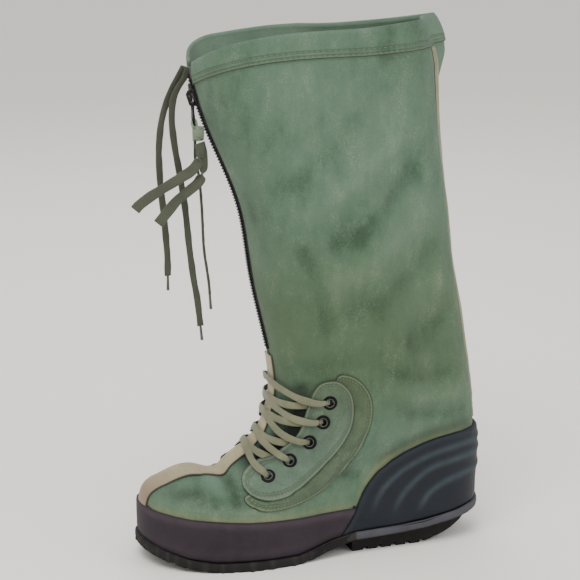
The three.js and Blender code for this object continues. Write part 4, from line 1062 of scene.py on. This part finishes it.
def cup_out(x, z, bottom, top):
    edge = CUP_EDGE_LINE.near(x, z)[0]
    full = GAP + 0.6 + (CUP - 0.6) * roll(edge, 3.2) * (0.5 + 0.5 * roll(z - bottom, 3))
    rib = 0.0
    for line in RIB_LINES:
        d, along = line.near(x, z)
        strength = fade(along * 5) * (1 - 0.3 * fade((x - 0.95 * LENGTH) / 20))
        rib = max(rib, math.exp(-(d / 3.1) ** 2) * strength)
    ripple = 0.3 * math.sin((x * 0.55 + z * 0.9) * 0.22) * (1 - fade((z - bottom - 25) / 20))
    return full + RIB_HEIGHT * rib + ripple, 0.08 + 0.85 * rib + 0.22 * math.exp(-((edge - 2.5) / 2.5) ** 2)


def cup_low(x):
    return sole(TOP, x) + GAP


def cup_high(x):
    return max(height_on(CUP_LINE, x), sole(TOP, x) + 0.5)


start, stop = column_at(CUP_START, -1), AROUND - column_at(CUP_START, 1)
bm = rubber_band(start, stop, cup_low, cup_high, cup_out, 56, 250)
cup = sheet(bm, "rubber_heel_cup", (250, 0, 50), 3.2, "rubber", CUP_RUBBER, "heel_cup")
print("foxing", len(foxing.data.polygons), "cup", len(cup.data.polygons))

# %% [markdown]
# The lacing needs places on the form: where each eyelet sits, and a line from one to another. Both
# are kept as a row and a column of the grid, because a line that is straight there hugs the foot.

# %% Places for the lacing
def find_place(x, z, side):
    """The row and signed column of the form's point that is seen from the side at x and z."""
    columns = np.arange(HALF_AROUND + 1) * (1 if side < 0 else -1)
    part = GRID[:, columns % AROUND]
    far = (part[..., 0] - x) ** 2 + (part[..., 2] - z) ** 2
    i, j = np.unravel_index(np.argmin(far), far.shape)
    row, column = float(i), float(columns[j])
    for step in (0.25, 0.06, 0.015):
        spots = [(row + a * step, column + b * step) for a in range(-4, 5) for b in range(-4, 5)]
        row, column = min(spots, key=lambda s: (look(GRID, *s)[0] - x) ** 2 + (look(GRID, *s)[2] - z) ** 2)
    return row, column


EYELETS = on_instep(((0.516, 1.469), (0.498, 1.289), (0.4625, 1.101), (0.4095, 0.929), (0.3465, 0.79)))
SIDES = {"lateral": -1, "medial": 1}
SPOTS = {name: [find_place(x, z, side) for x, z in EYELETS] for name, side in SIDES.items()}
print("eyelets at", [tuple(round(v, 1) for v in s) for s in SPOTS["lateral"]])

# %% [markdown]
# The two leaf-shaped pieces at the instep are cut from a polar grid: rings from a middle point out
# to the outline. The outer patch lies flat. The flap on it is sewn down along its back edge, and
# its front edge stands free, so it lifts a little and throws a deep shadow.

# %% Patches and flaps
PATCH_OUTLINE = on_instep((
    (0.535, 1.7), (0.564, 1.715), (0.598, 1.658), (0.627, 1.541), (0.638, 1.401), (0.631, 1.24),
    (0.605, 1.057), (0.552, 0.841), (0.486, 0.651), (0.405, 0.553), (0.328, 0.531), (0.289, 0.567),
    (0.27, 0.617), (0.285, 0.67), (0.35, 0.74), (0.42, 0.87), (0.48, 1.05), (0.51, 1.26), (0.518, 1.5),
))
PATCH_MIDDLE, FLAP_MIDDLE = (0.545 * LENGTH, 1.0 * INSTEP), (0.47 * LENGTH, 1.08 * INSTEP)
FOOT_MIDDLE = (0.5 * LENGTH, 0, 0.9 * INSTEP)
PATCH_HIGH, FLAP_HIGH, PATCH_THICK, FLAP_THICK = 1.5, 3.1, 1.1, 1.2


def closed_line(points, count):
    """A smooth closed line through points, as an array of count places."""
    around = [*points[-3:], *points, *points[:4]]
    path = spline([(x, z, 0) for x, z in around], 40 * len(around))[0]
    rows = np.array([(p.x, p.y) for p in path])
    first = int(np.argmin(np.hypot(*(rows[:len(rows) // 2] - points[0]).T)))
    last = len(rows) // 2 + int(np.argmin(np.hypot(*(rows[len(rows) // 2:] - points[0]).T)))
    loop = rows[first:last + 1]
    run = np.concatenate([[0], np.cumsum(np.hypot(*np.diff(loop, axis=0).T))])
    marks = np.linspace(0, run[-1], count + 1)
    return np.stack([np.interp(marks, run, loop[:, k]) for k in (0, 1)], 1), run[-1]


def leaf(name, outline, middle, side, out, columns=150, rows=22):
    """A piece with a closed outline that is seen from the side, laid on the folded form."""
    line, around = closed_line(outline, columns)
    rim = Line(line)

    def place(i, j):
        share = 1 - (1 - j / rows) ** 1.5
        x, z = np.array(middle) + (line[i] - middle) * share
        p, n = on_side(x, z, side)
        edge = rim.near(x, z)[0]
        hole = min(math.dist((x, z), spot) for spot in EYELETS)
        rounded = 0.55 * (1 - roll(edge, 1.2))
        q = np.array(p) + np.array(n) * (out(x, z, edge) - rounded)
        # painted shade: the patch is darkened in the eyelet holes and under the flap's free edge
        dark = 0.95 * (1 - fade((hole - 4.5) / 2)) if name == "patch" else 0.0
        return q, {
            "edge": edge * MM, "along": i / columns * around * MM, "fold": 0.0, "climb": z * MM, "rim": 1.0,
            "smear": 0.0, "shade": max(dark, 0.8 * deep_shade(x, z) * (name == "patch")),
        }

    spots = [on_side(x, z, side) for x, z in EYELETS]
    lifted = [Vector(p) + Vector(n) * FLAP_HIGH for p, n in spots]

    def whole(c):
        return name == "patch" or min((Vector(c) - spot).length for spot in lifted) > 3.6

    return laid_grid(columns, rows, place, CLOTH_LAYERS, closed=True, keep=whole)


def patch_out(x, z, edge):
    puff = 0.35 * math.sin(x * 0.21 + z * 0.34) * fade(edge / 8)
    return PATCH_HIGH + puff


def flap_out(x, z, edge):
    free = FREE_EDGE.near(x, z)[0]
    lift = 1.5 * (1 - fade(free / 11)) ** 1.5
    return FLAP_HIGH + lift + 0.2 * math.sin(x * 0.16 - z * 0.12)


for name, side in SIDES.items():
    for kind, outline, middle, out, thick, cloth in (
        ("patch", PATCH_OUTLINE, PATCH_MIDDLE, patch_out, PATCH_THICK, PATCH_CANVAS),
        ("flap", FLAP_OUTLINE, FLAP_MIDDLE, flap_out, FLAP_THICK, FLAP_CANVAS),
    ):
        bm = leaf(kind, outline, middle, side, out)
        piece = sheet(bm, f"{kind}_{name}_cloth", FOOT_MIDDLE, thick, "canvas", cloth, f"{kind}_{name}")
        piece.data.materials.append(CUT_EDGE_SHADOW.material)
        piece.modifiers["thickness"].material_offset_rim = 1
print("leaf pieces", 4)

# %% [markdown]
# An eyelet is one profile turned round its axis: a thin flange, a rolled bead round the hole, and a
# barrel that goes down through the flap. Its black enamel has worn off along the bead.

# %% Eyelets
def enamel(name, base=(0.001, 0.001, 0.001), worn=(0.16, 0.16, 0.15), roughness=0.55):
    s = Shader(name)
    place = s.place()
    cloud = s.noise(place, 300, 3, 0.6)
    bead = s.attribute("bead")
    wear = (bead * 0.9 + cloud * 0.5).step(0.9, 1.25)
    color = s.mix(wear, s.mix(cloud, base, tuple(2.2 * c for c in base)), worn)
    tone = (cloud * 0.25 + roughness - 0.1).clamp()
    s.surface(color, tone, s.bump(cloud, 0.35, 0.0002), Specular_IOR_Level=0.15)
    s.join(s.principled.inputs["Metallic"], wear * 0.8)
    return s.material


ENAMEL = enamel("worn black enamel")
EYELET_PROFILE = (
    (6.5, 3.15), (6.45, 3.5), (6.0, 3.75), (5.2, 3.8), (4.7, 3.75), (4.35, 3.95), (3.95, 4.15),
    (3.5, 4.05), (3.2, 3.7), (3.1, 3.0), (3.1, 0.9),
)
BEAD = (6, 7)
EYELET_STEPS, HOLE_SHADE_RADIUS, HOLE_SHADE_HEIGHT = 36, 3.2, 1.0
for name, side in SIDES.items():
    for k, (x, z) in enumerate(EYELETS):
        p, n = on_side(x, z, side)
        bm = bmesh.new()
        bead = bm.verts.layers.float.new("bead")
        verts = []
        for i, (r, h) in enumerate(EYELET_PROFILE):
            v = bmesh.ops.create_vert(bm, co=(r * MM, 0, h * MM))["vert"][0]
            v[bead] = 1.0 if i in BEAD else 0.0
            verts.append(v)
        edges = [bmesh.ops.contextual_create(bm, geom=pair)["edges"][0] for pair in zip(verts, verts[1:])]
        bmesh.ops.spin(bm, geom=verts + edges, cent=(0, 0, 0), axis=(0, 0, 1), angle=2 * math.pi,
                       steps=EYELET_STEPS, use_merge=True, use_duplicate=False)
        bmesh.ops.recalc_face_normals(bm, faces=bm.faces)
        top = max(bm.faces, key=lambda f: f.calc_center_median().z)
        if top.normal.z < 0:
            bmesh.ops.reverse_faces(bm, faces=bm.faces)
        # a black disc closes the barrel 1 mm above its foot: painted shade in the hole
        hole_shade_at = Matrix.Translation((0, 0, HOLE_SHADE_HEIGHT * MM))
        bmesh.ops.create_circle(bm, cap_ends=True, segments=EYELET_STEPS, radius=HOLE_SHADE_RADIUS * MM,
                                matrix=hole_shade_at)
        turn = n.to_track_quat("Z", "Y").to_matrix().to_4x4()
        bmesh.ops.transform(bm, matrix=Matrix.Translation(at(*p)) @ turn, verts=bm.verts)
        ring = finish_mesh(bm, f"eyelet_{name}_{k + 1}_ring")
        dress(ring, "boot", "metal", ENAMEL, f"eyelet_{name}_{k + 1}")
print("eyelets", 2 * len(EYELETS))

# %% [markdown]
# A lace is a flat woven tube. Each crossing has two strands that rise from an eyelet, lie over the
# flap's edge, climb across the ridge, one over the other, and dip under the other flap. The top pair
# of eyelets has one strand that goes straight across.

# %% Laces
LACE_WIDTH, LACE_THICK = 6.6, 1.7
STRIP_HIGH = 1.6
CROSSING_RISE, BAR_RISE = 0.35, 0.5
STATIONS = 46


def row_above(row, rise):
    """The row that lies a number of sections above another."""
    t = np.interp(row, range(len(ROW_T)), ROW_T) + rise
    return float(np.interp(t, ROW_T, range(len(ROW_T))))


def strand(bm, start, stop, over, whole, seed):
    """One strand from an eyelet's place to another's."""
    span = 1.15 * np.linalg.norm(look(GRID, *start) - look(GRID, *stop))
    stop_at = 1 if whole else 1 - 9 / span
    path, flats = [], []
    for k in range(STATIONS):
        t = stop_at * k / (STATIONS - 1)
        climb = (BAR_RISE if whole else CROSSING_RISE) * math.sin(math.pi * t)
        row = row_above(start[0] + (stop[0] - start[0]) * t, climb)
        column = start[1] + (stop[1] - start[1]) * t
        near, far = t * span, (1 - t) * span
        middle = math.exp(-((near - far) / 26) ** 2)
        crossing = STRIP_HIGH + 2.4 + (1.5 if over else 0) * middle
        on_flap = FLAP_HIGH + 2.1
        height = crossing
        for d in (near, far) if whole else (near,):
            if d < 30:
                height = on_flap + (crossing - on_flap) * fade((d - 16) / 14)
            height += 1.1 * math.exp(-((d - 7.5) / 3) ** 2)
            height -= 4.6 * (1 - fade(d / 4.6))
        if not whole and far < 27:
            height = 0.9 + (crossing - 0.9) * fade((far - 15) / 10)
        side_slip = 0.35 * math.sin(near * 0.19 + seed)
        path.append(at(*on_form(row, column, height + LACE_THICK / 2)))
        flats.append((Vector(normal_at(row, column)), side_slip))

    def wide(share):
        k = min(int(share * (STATIONS - 1) + 0.5), STATIONS - 1)
        ahead = (path[min(k + 1, STATIONS - 1)] - path[max(k - 1, 0)]).normalized()
        n, slip = flats[k]
        return n.cross(ahead) + n * 0.25 * slip

    sweep(bm, path, LACE_WIDTH * MM, LACE_THICK * MM, wide, segments=14, wave=0.05, seed=seed,
          taper=lambda share: 0.72 + 0.28 * fade(share * 9) * (fade((1 - share) * 9) if whole else 1))


for k in range(len(EYELETS)):
    bm = bmesh.new()
    if k == 0:
        strand(bm, SPOTS["lateral"][0], SPOTS["medial"][0], True, True, 50)
    else:
        strand(bm, SPOTS["lateral"][k], SPOTS["medial"][k - 1], True, False, 11 + k)
        strand(bm, SPOTS["medial"][k], SPOTS["lateral"][k - 1], False, False, 31 + k)
    lace = finish_mesh(bm, f"lace_crossing_{k + 1}_cloth")
    dress(lace, "boot", "lace", LACE_CLOTH, f"lace_crossing_{k + 1}")
print("lace crossings", len(EYELETS))

# %% [markdown]
# A cream strip covers the vamp's centre seam from the toe up to the zip, and a cream piping runs up
# the back. Both are ribbons of the form's front or back, cut by their width across the foot.

# %% Strip and piping
ROW_PITCH = 0.002


def ridge_band(first_row, last_row, middle, reach, half, out, rows, columns, centre=0.0):
    """A band along the front or back ridge. half is half its width, and out gives its height."""
    picks = np.arange(-reach, reach + 1)

    def place(i, j):
        row = first_row + (last_row - first_row) * j / rows
        ys = np.array([look(SHAPE, row, middle + c)[1] for c in picks])
        target = centre(row) if callable(centre) else centre
        across = 2 * i / columns - 1
        y = target + across * half
        order = np.argsort(ys)
        column = float(np.interp(y, ys[order], picks[order]))
        column += middle
        p = look(SHAPE, row, column) + normal_at(row, column) * out(row, across)
        return p, {
            "edge": (1 - abs(across)) * half * MM, "along": row * ROW_PITCH,
            "across": across * half * MM, "climb": p[2] * MM,
        }

    return laid_grid(columns, rows, place, ("edge", "along", "across", "climb"))


def binding(name, light, mid, dark):
    """Cream cloth tape with a worn, dirty lower end and dark lines along its edges: painted shade in the gap
    at its rolled edges.
    """
    s = Shader(name)
    place = s.place()
    cloud = s.noise(place, 40, 4, 0.6)
    fine = s.noise(place, 900, 3, 0.7)
    color = s.mix((cloud * 0.7 + fine * 0.4).step(0.3, 0.85), mid, light)
    climb = s.attribute("climb")
    dirt = (1 - climb.step(0.062, 0.088)) * (cloud * 0.7 + 0.45)
    color = s.mix(dirt.clamp(), color, (0.2, 0.13, 0.09))
    edge = s.attribute("edge")
    # painted shade along both edges
    edge_gap_shade = 1 - edge.step(0.0003, 0.0011)
    color = s.mix(edge_gap_shade * 0.85, color, dark)
    s.surface(color, 0.88, s.bump(fine * 0.6 + cloud * 0.8, 0.6, 0.0005), Sheen_Weight=0.2)
    return s.material


BINDING = binding("cream binding", (0.42, 0.37, 0.235), (0.25, 0.215, 0.13), (0.012, 0.012, 0.009))
SEAM_BINDING = binding("cream piping", (0.33, 0.315, 0.2), (0.18, 0.175, 0.11), (0.02, 0.018, 0.012))
STRIP_FOOT, STRIP_HEAD, STRIP_HALF = 60.2, ZIP_FOOT - 1.5, 9.0
ridge = GRID[:, 0, 2]
strip_rows = [r for r in range(len(ROW_T)) if STRIP_FOOT - 6 < ridge[r] < STRIP_HEAD]


def strip_out(row, across):
    pinch = 0.9 * math.exp(-((row - strip_rows[0] - 22) / 3) ** 2) * (across < -0.3)
    return 0.5 + 1.2 * math.sqrt(max(0, 1 - abs(across) ** 5)) + pinch + 0.12 * math.sin(row * 0.8)


bm = ridge_band(strip_rows[0], strip_rows[-1], 0, 16, STRIP_HALF, strip_out, 110, 16)
sheet(bm, "vamp_strip_cloth", (200, 0, 20), 1.0, "binding", BINDING, "vamp_strip")

SEAM_ASIDE, SEAM_HALF, CORD_HIGH, CORD_SHARE = 3.2, 3.5, 2.3, 0.62
seam_rows = [r for r in range(len(ROW_T)) if GRID[r, HALF_AROUND, 2] > CUP_TOP + 1 and ROW_T[r] < HEM - 0.1]


def seam_centre(row):
    """The seam lies a little towards the lateral side, and wavers."""
    waver = 0.5 * math.sin(row * 0.31) + 0.3 * math.sin(row * 0.83)
    return look(SHAPE, row, HALF_AROUND)[1] - SEAM_ASIDE + waver


def seam_out(row, across):
    cord = CORD_HIGH * math.sqrt(max(0, 1 - (across / CORD_SHARE) ** 2)) if abs(across) < CORD_SHARE else 0
    return 0.35 + 0.5 * (1 - across ** 4) + cord


bm = ridge_band(seam_rows[0], seam_rows[-1], HALF_AROUND, 8, SEAM_HALF, seam_out, 190, 14, seam_centre)
sheet(bm, "back_seam_piping", (200, 0, 200), 0.8, "binding", SEAM_BINDING, "back_seam")
print("strip rows", len(strip_rows), "seam rows", len(seam_rows))

# %% [markdown]
# The zip sits behind the slit: a black woven tape on each side and a row of small teeth that mesh.
# One tooth is shaped once, and its copies stand along the slit, left and right by turns.

# %% Zip tape and teeth
TAPE_CLOTH = woven("black zip tape", (0.01, 0.01, 0.011), (0.03, 0.031, 0.032), 0.0013, edge=0.05)
BLACK = enamel("black zip metal", (0.008, 0.008, 0.009), (0.06, 0.06, 0.062), 0.4)
TAPE_HALF, TAPE_DEPTH, TAPE_SWELL, SWELL_HALF = 15, 3.1, 3.0, 3.6


def front_row(z):
    return row_at(0, z)


def tape_out(row, across):
    return -TAPE_DEPTH + TAPE_SWELL * math.exp(-(across * TAPE_HALF / SWELL_HALF) ** 2)


bm = ridge_band(front_row(ZIP_FOOT - 8), front_row(ZIP_HEAD + 6), 0, 14, TAPE_HALF, tape_out, 150, 16)
sheet(bm, "zip_tape_cloth", (200, 0, 250), 0.9, "tape", TAPE_CLOTH, "zip_tape")

PITCH_OF_TEETH, CHAIN_AT, TOOTH_ASIDE = 2.7, 1.3, 1.4
TOOTH_SIZE = (2.2, 3.6, 1.7)
bm = bmesh.new()
count = int((ZIP_HEAD - ZIP_FOOT - 2) / PITCH_OF_TEETH)
for k in range(2 * count):
    side = 1 if k % 2 else -1
    row = front_row(ZIP_FOOT + 2 + k * PITCH_OF_TEETH / 2)
    n = Vector(normal_at(row, 0))
    p = Vector(look(SHAPE, row, 0)) + n * CHAIN_AT
    y = Vector((0, 1, 0))
    up = n.cross(y)
    turn = Matrix((n, y, up)).transposed().to_4x4()
    made = bmesh.ops.create_cube(bm, size=1)["verts"]
    bmesh.ops.transform(bm, matrix=Matrix.Diagonal((*(s * MM for s in TOOTH_SIZE), 1)), verts=made)
    for v in made:
        if v.co.y * side < 0:
            v.co.x *= 0.55
            v.co.z *= 0.8
    bmesh.ops.transform(bm, matrix=Matrix.Translation(at(p.x, side * TOOTH_ASIDE, p.z)) @ turn, verts=made)
bmesh.ops.bevel(bm, geom=bm.edges[:], offset=0.25 * MM, segments=1, affect="EDGES", profile=0.5, material=-1)
bmesh.ops.recalc_face_normals(bm, faces=bm.faces)
teeth = finish_mesh(bm, "zip_teeth", smooth=False)
dress(teeth, "boot", "metal", BLACK, "zip_chain")
print("teeth", 2 * count)

# %% [markdown]
# The slider and its pull are castings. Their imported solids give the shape, and a merged copy gets
# rounded edges.

# %% Slider and pull
def softened(node, name, width):
    """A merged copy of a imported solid, with its edges rounded by a Bevel modifier."""
    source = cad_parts[node]
    bm = bmesh.new()
    bm.from_mesh(source.data)
    bmesh.ops.transform(bm, matrix=source.matrix_world, verts=bm.verts)
    bmesh.ops.remove_doubles(bm, verts=bm.verts, dist=1e-5)
    bmesh.ops.dissolve_limit(bm, angle_limit=0.02, verts=bm.verts, edges=bm.edges)
    bmesh.ops.recalc_face_normals(bm, faces=bm.faces)
    obj = finish_mesh(bm, name)
    bevel = obj.modifiers.new("edges", "BEVEL")
    bevel.width = width * MM
    bevel.segments = 2
    bevel.limit_method = "ANGLE"
    return obj


dress(softened("zip_slider", "zip_slider_cast", 0.5), "boot", "metal", BLACK, "zip_slider")
dress(softened("zip_pull", "zip_pull_cast", 0.3), "pull", "metal", BLACK, "zip_pull")
print("castings", 2)

# %% [markdown]
# A short ribbon is tied to the pull. It runs through the pull's hole as a loop, then wraps itself
# twice: the knot is those wraps round a core.

# %% Ribbon knot
HINGE = Vector((56.0, 0.0, 415.6))
hole = HINGE + Vector((0, 0, -16.4))
knot_at = HINGE + Vector((1.4, -12.5, -25.2))
bm = bmesh.new()
loop = [hole + Vector(step) for step in (
    (1.2, 0.5, 1.4), (2.2, -3.5, -0.6), (2.0, -8, -5.2), knot_at - hole,
    (-1.2, -8.6, -5.6), (-2.0, -3.6, -1.4), (-1.0, 0.3, 0.9), (1.2, 0.5, 1.4),
)]
path = spline([at(*p) for p in loop], 60)[0]
sweep(bm, path, 4.2 * MM, 0.9 * MM, Vector((0.1, -0.5, 1)), wave=0.04, seed=5)


def wrap(lift, tilt, radius, width, seed):
    """One turn of the ribbon round the knot."""
    ring = []
    for k in range(25):
        a = 2 * math.pi * k / 24
        p = Vector((radius[0] * math.cos(a), radius[1] * math.sin(a), 0))
        p.rotate(Matrix.Rotation(tilt, 3, "X"))
        ring.append(at(*(knot_at + Vector((0, 0, lift)) + p)))
    path = spline(ring, 40)[0]
    sweep(bm, path, width * MM, 1.0 * MM, Vector((0.05, 0.2, 1)), wave=0.08, seed=seed)


wrap(1.8, 0.25, (4.7, 3.9), 6.4, 21)
wrap(-2.6, -0.45, (4.6, 3.7), 5.6, 22)
core = bmesh.ops.create_icosphere(bm, subdivisions=3, radius=1)["verts"]
core_size = Matrix.Diagonal((3.9 * MM, 3.2 * MM, 6.6 * MM, 1))
bmesh.ops.transform(bm, matrix=Matrix.Translation(at(*knot_at)) @ core_size, verts=core)
knot = finish_mesh(bm, "ribbon_knot_cloth")
dress(knot, "pull", "cord", KNOT_CLOTH, "ribbon_knot")
print("knot faces", len(knot.data.polygons))

# %% [markdown]
# The moulded plate runs round the whole foot. At the forefoot its edge is rough and knobbly, where
# the lugs come up to it. At the heel it is a smooth grey flange that stands out from the block.

# %% Sole edge
SOLE_OUT = 6.3
GREY_FLANGE = rubber("grey flange rubber", (0.01, 0.01, 0.013), (0.03, 0.03, 0.036), (0.085, 0.085, 0.1), 0.6)
flat_normals = NORMALS[0] * np.array([1, 1, 0])
flat_normals /= np.linalg.norm(flat_normals, axis=1, keepdims=True)
# how far out, and the share of the plate's height
EDGE_PROFILE = (
    (-4.0, 0.02), (-0.6, 0.0), (0.25, 0.1), (0.55, 0.3), (0.6, 0.55), (0.5, 0.8), (0.1, 0.97), (-0.5, 1.03),
    (-2.2, 1.05),
)
knobs = random.Random(3)
bumps = [knobs.uniform(0.6, 1.4) for _ in range(400)]


def sole_edge(i, j):
    column = i % AROUND
    base = GRID[0, column]
    n = flat_normals[column]
    push, share = EDGE_PROFILE[j]
    x = base[0] + n[0] * SOLE_OUT
    low, high = sole(PLATE, x), sole(TOP, x)
    rough = 1 - fade((x - 0.5 * LENGTH) / 12)
    run = i * 4.1
    knob = max(0, math.sin(run * 0.62) * math.sin(run * 0.233 + 1)) * bumps[column]
    lower = 1 - fade(share * 1.6 - 0.2)
    push += rough * (2.0 * knob * lower - 0.9 * lower)
    z = low + (high - low) * share + rough * 0.25 * math.sin(run * 0.9) * (0 < j < 7)
    p = base + n * (SOLE_OUT + push)
    worn = 0.55 * (1 - rough) if share > 0.2 else 0
    return (p[0], p[1], max(z, 0.0)), {"high": 0.15 + 0.5 * rough * knob + worn}


HEEL_FROM = 0.588 * LENGTH
for name, material, part in (
    ("forefoot", SOLE_RUBBER, lambda c: c.x < HEEL_FROM), ("heel", GREY_FLANGE, lambda c: c.x >= HEEL_FROM),
):
    bm = laid_grid(AROUND, len(EDGE_PROFILE) - 1, sole_edge, ("high",), closed=True, keep=part)
    sheet(bm, f"sole_edge_{name}", (160, 0, 20), 0, "rubber", material)
print("sole edges", 2)

# %% [markdown]
# The insole is felt. It is crowned a little, dips where the heel and the ball of the foot press it,
# and fills the bottom from wall to wall.

# %% Insole
felt = Shader("grey felt")
fluff = felt.noise(felt.place(), 700, 4, 0.75)
blotch = felt.noise(felt.place(), 22, 3, 0.6)
color = felt.mix((fluff * 0.7 + blotch * 0.5 - 0.1).clamp(), (0.05, 0.05, 0.04), (0.17, 0.165, 0.13))
felt.surface(color, 0.97, felt.bump(fluff, 0.8, 0.0012), Sheen_Weight=0.4)
INSOLE_TOP, WALL, INSOLE_ROWS = 4.3, 2.8, 24


def insole_place(i, j):
    column = i % AROUND
    share = j / INSOLE_ROWS
    edge = GRID[0, column] - flat_normals[column] * (WALL + 0.5)
    spine = np.array([np.clip(edge[0], 0.16 * LENGTH, 0.86 * LENGTH), 0.15 * edge[1], 0])
    p = spine + (edge - spine) * share
    crown = 1.3 * (1 - share ** 2) + 0.5 * roll((1 - share) * 12, 1.5)
    heel = -1.6 * math.exp(-((p[0] - 0.8 * LENGTH) / 34) ** 2 - (p[1] / 20) ** 2)
    ball = -1.3 * math.exp(-((p[0] - 0.28 * LENGTH) / 40) ** 2 - (p[1] / 30) ** 2)
    return (p[0], p[1], sole(TOP, p[0]) + INSOLE_TOP + crown + heel + ball - 0.8), {"high": share}


bm = laid_grid(AROUND, INSOLE_ROWS, insole_place, ("high",), closed=True)
insole = sheet(bm, "felt_insole", (160, 0, -400), 3.6, "lining", felt.material, "insole")
print("insole faces", len(insole.data.polygons))

# %% [markdown]
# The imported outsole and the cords' tips stay as they are. They get their finishes here.

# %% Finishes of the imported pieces
TIP = enamel("grey brown tip", (0.055, 0.048, 0.04), (0.16, 0.15, 0.13), 0.55)
for node in ("outsole", "aglet_outer", "aglet_inner", "aglet_thin"):
    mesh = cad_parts[node].data
    mesh.materials.clear()
    mesh.materials.append(SOLE_RUBBER if node == "outsole" else TIP)
print("packed pieces finished", 4)
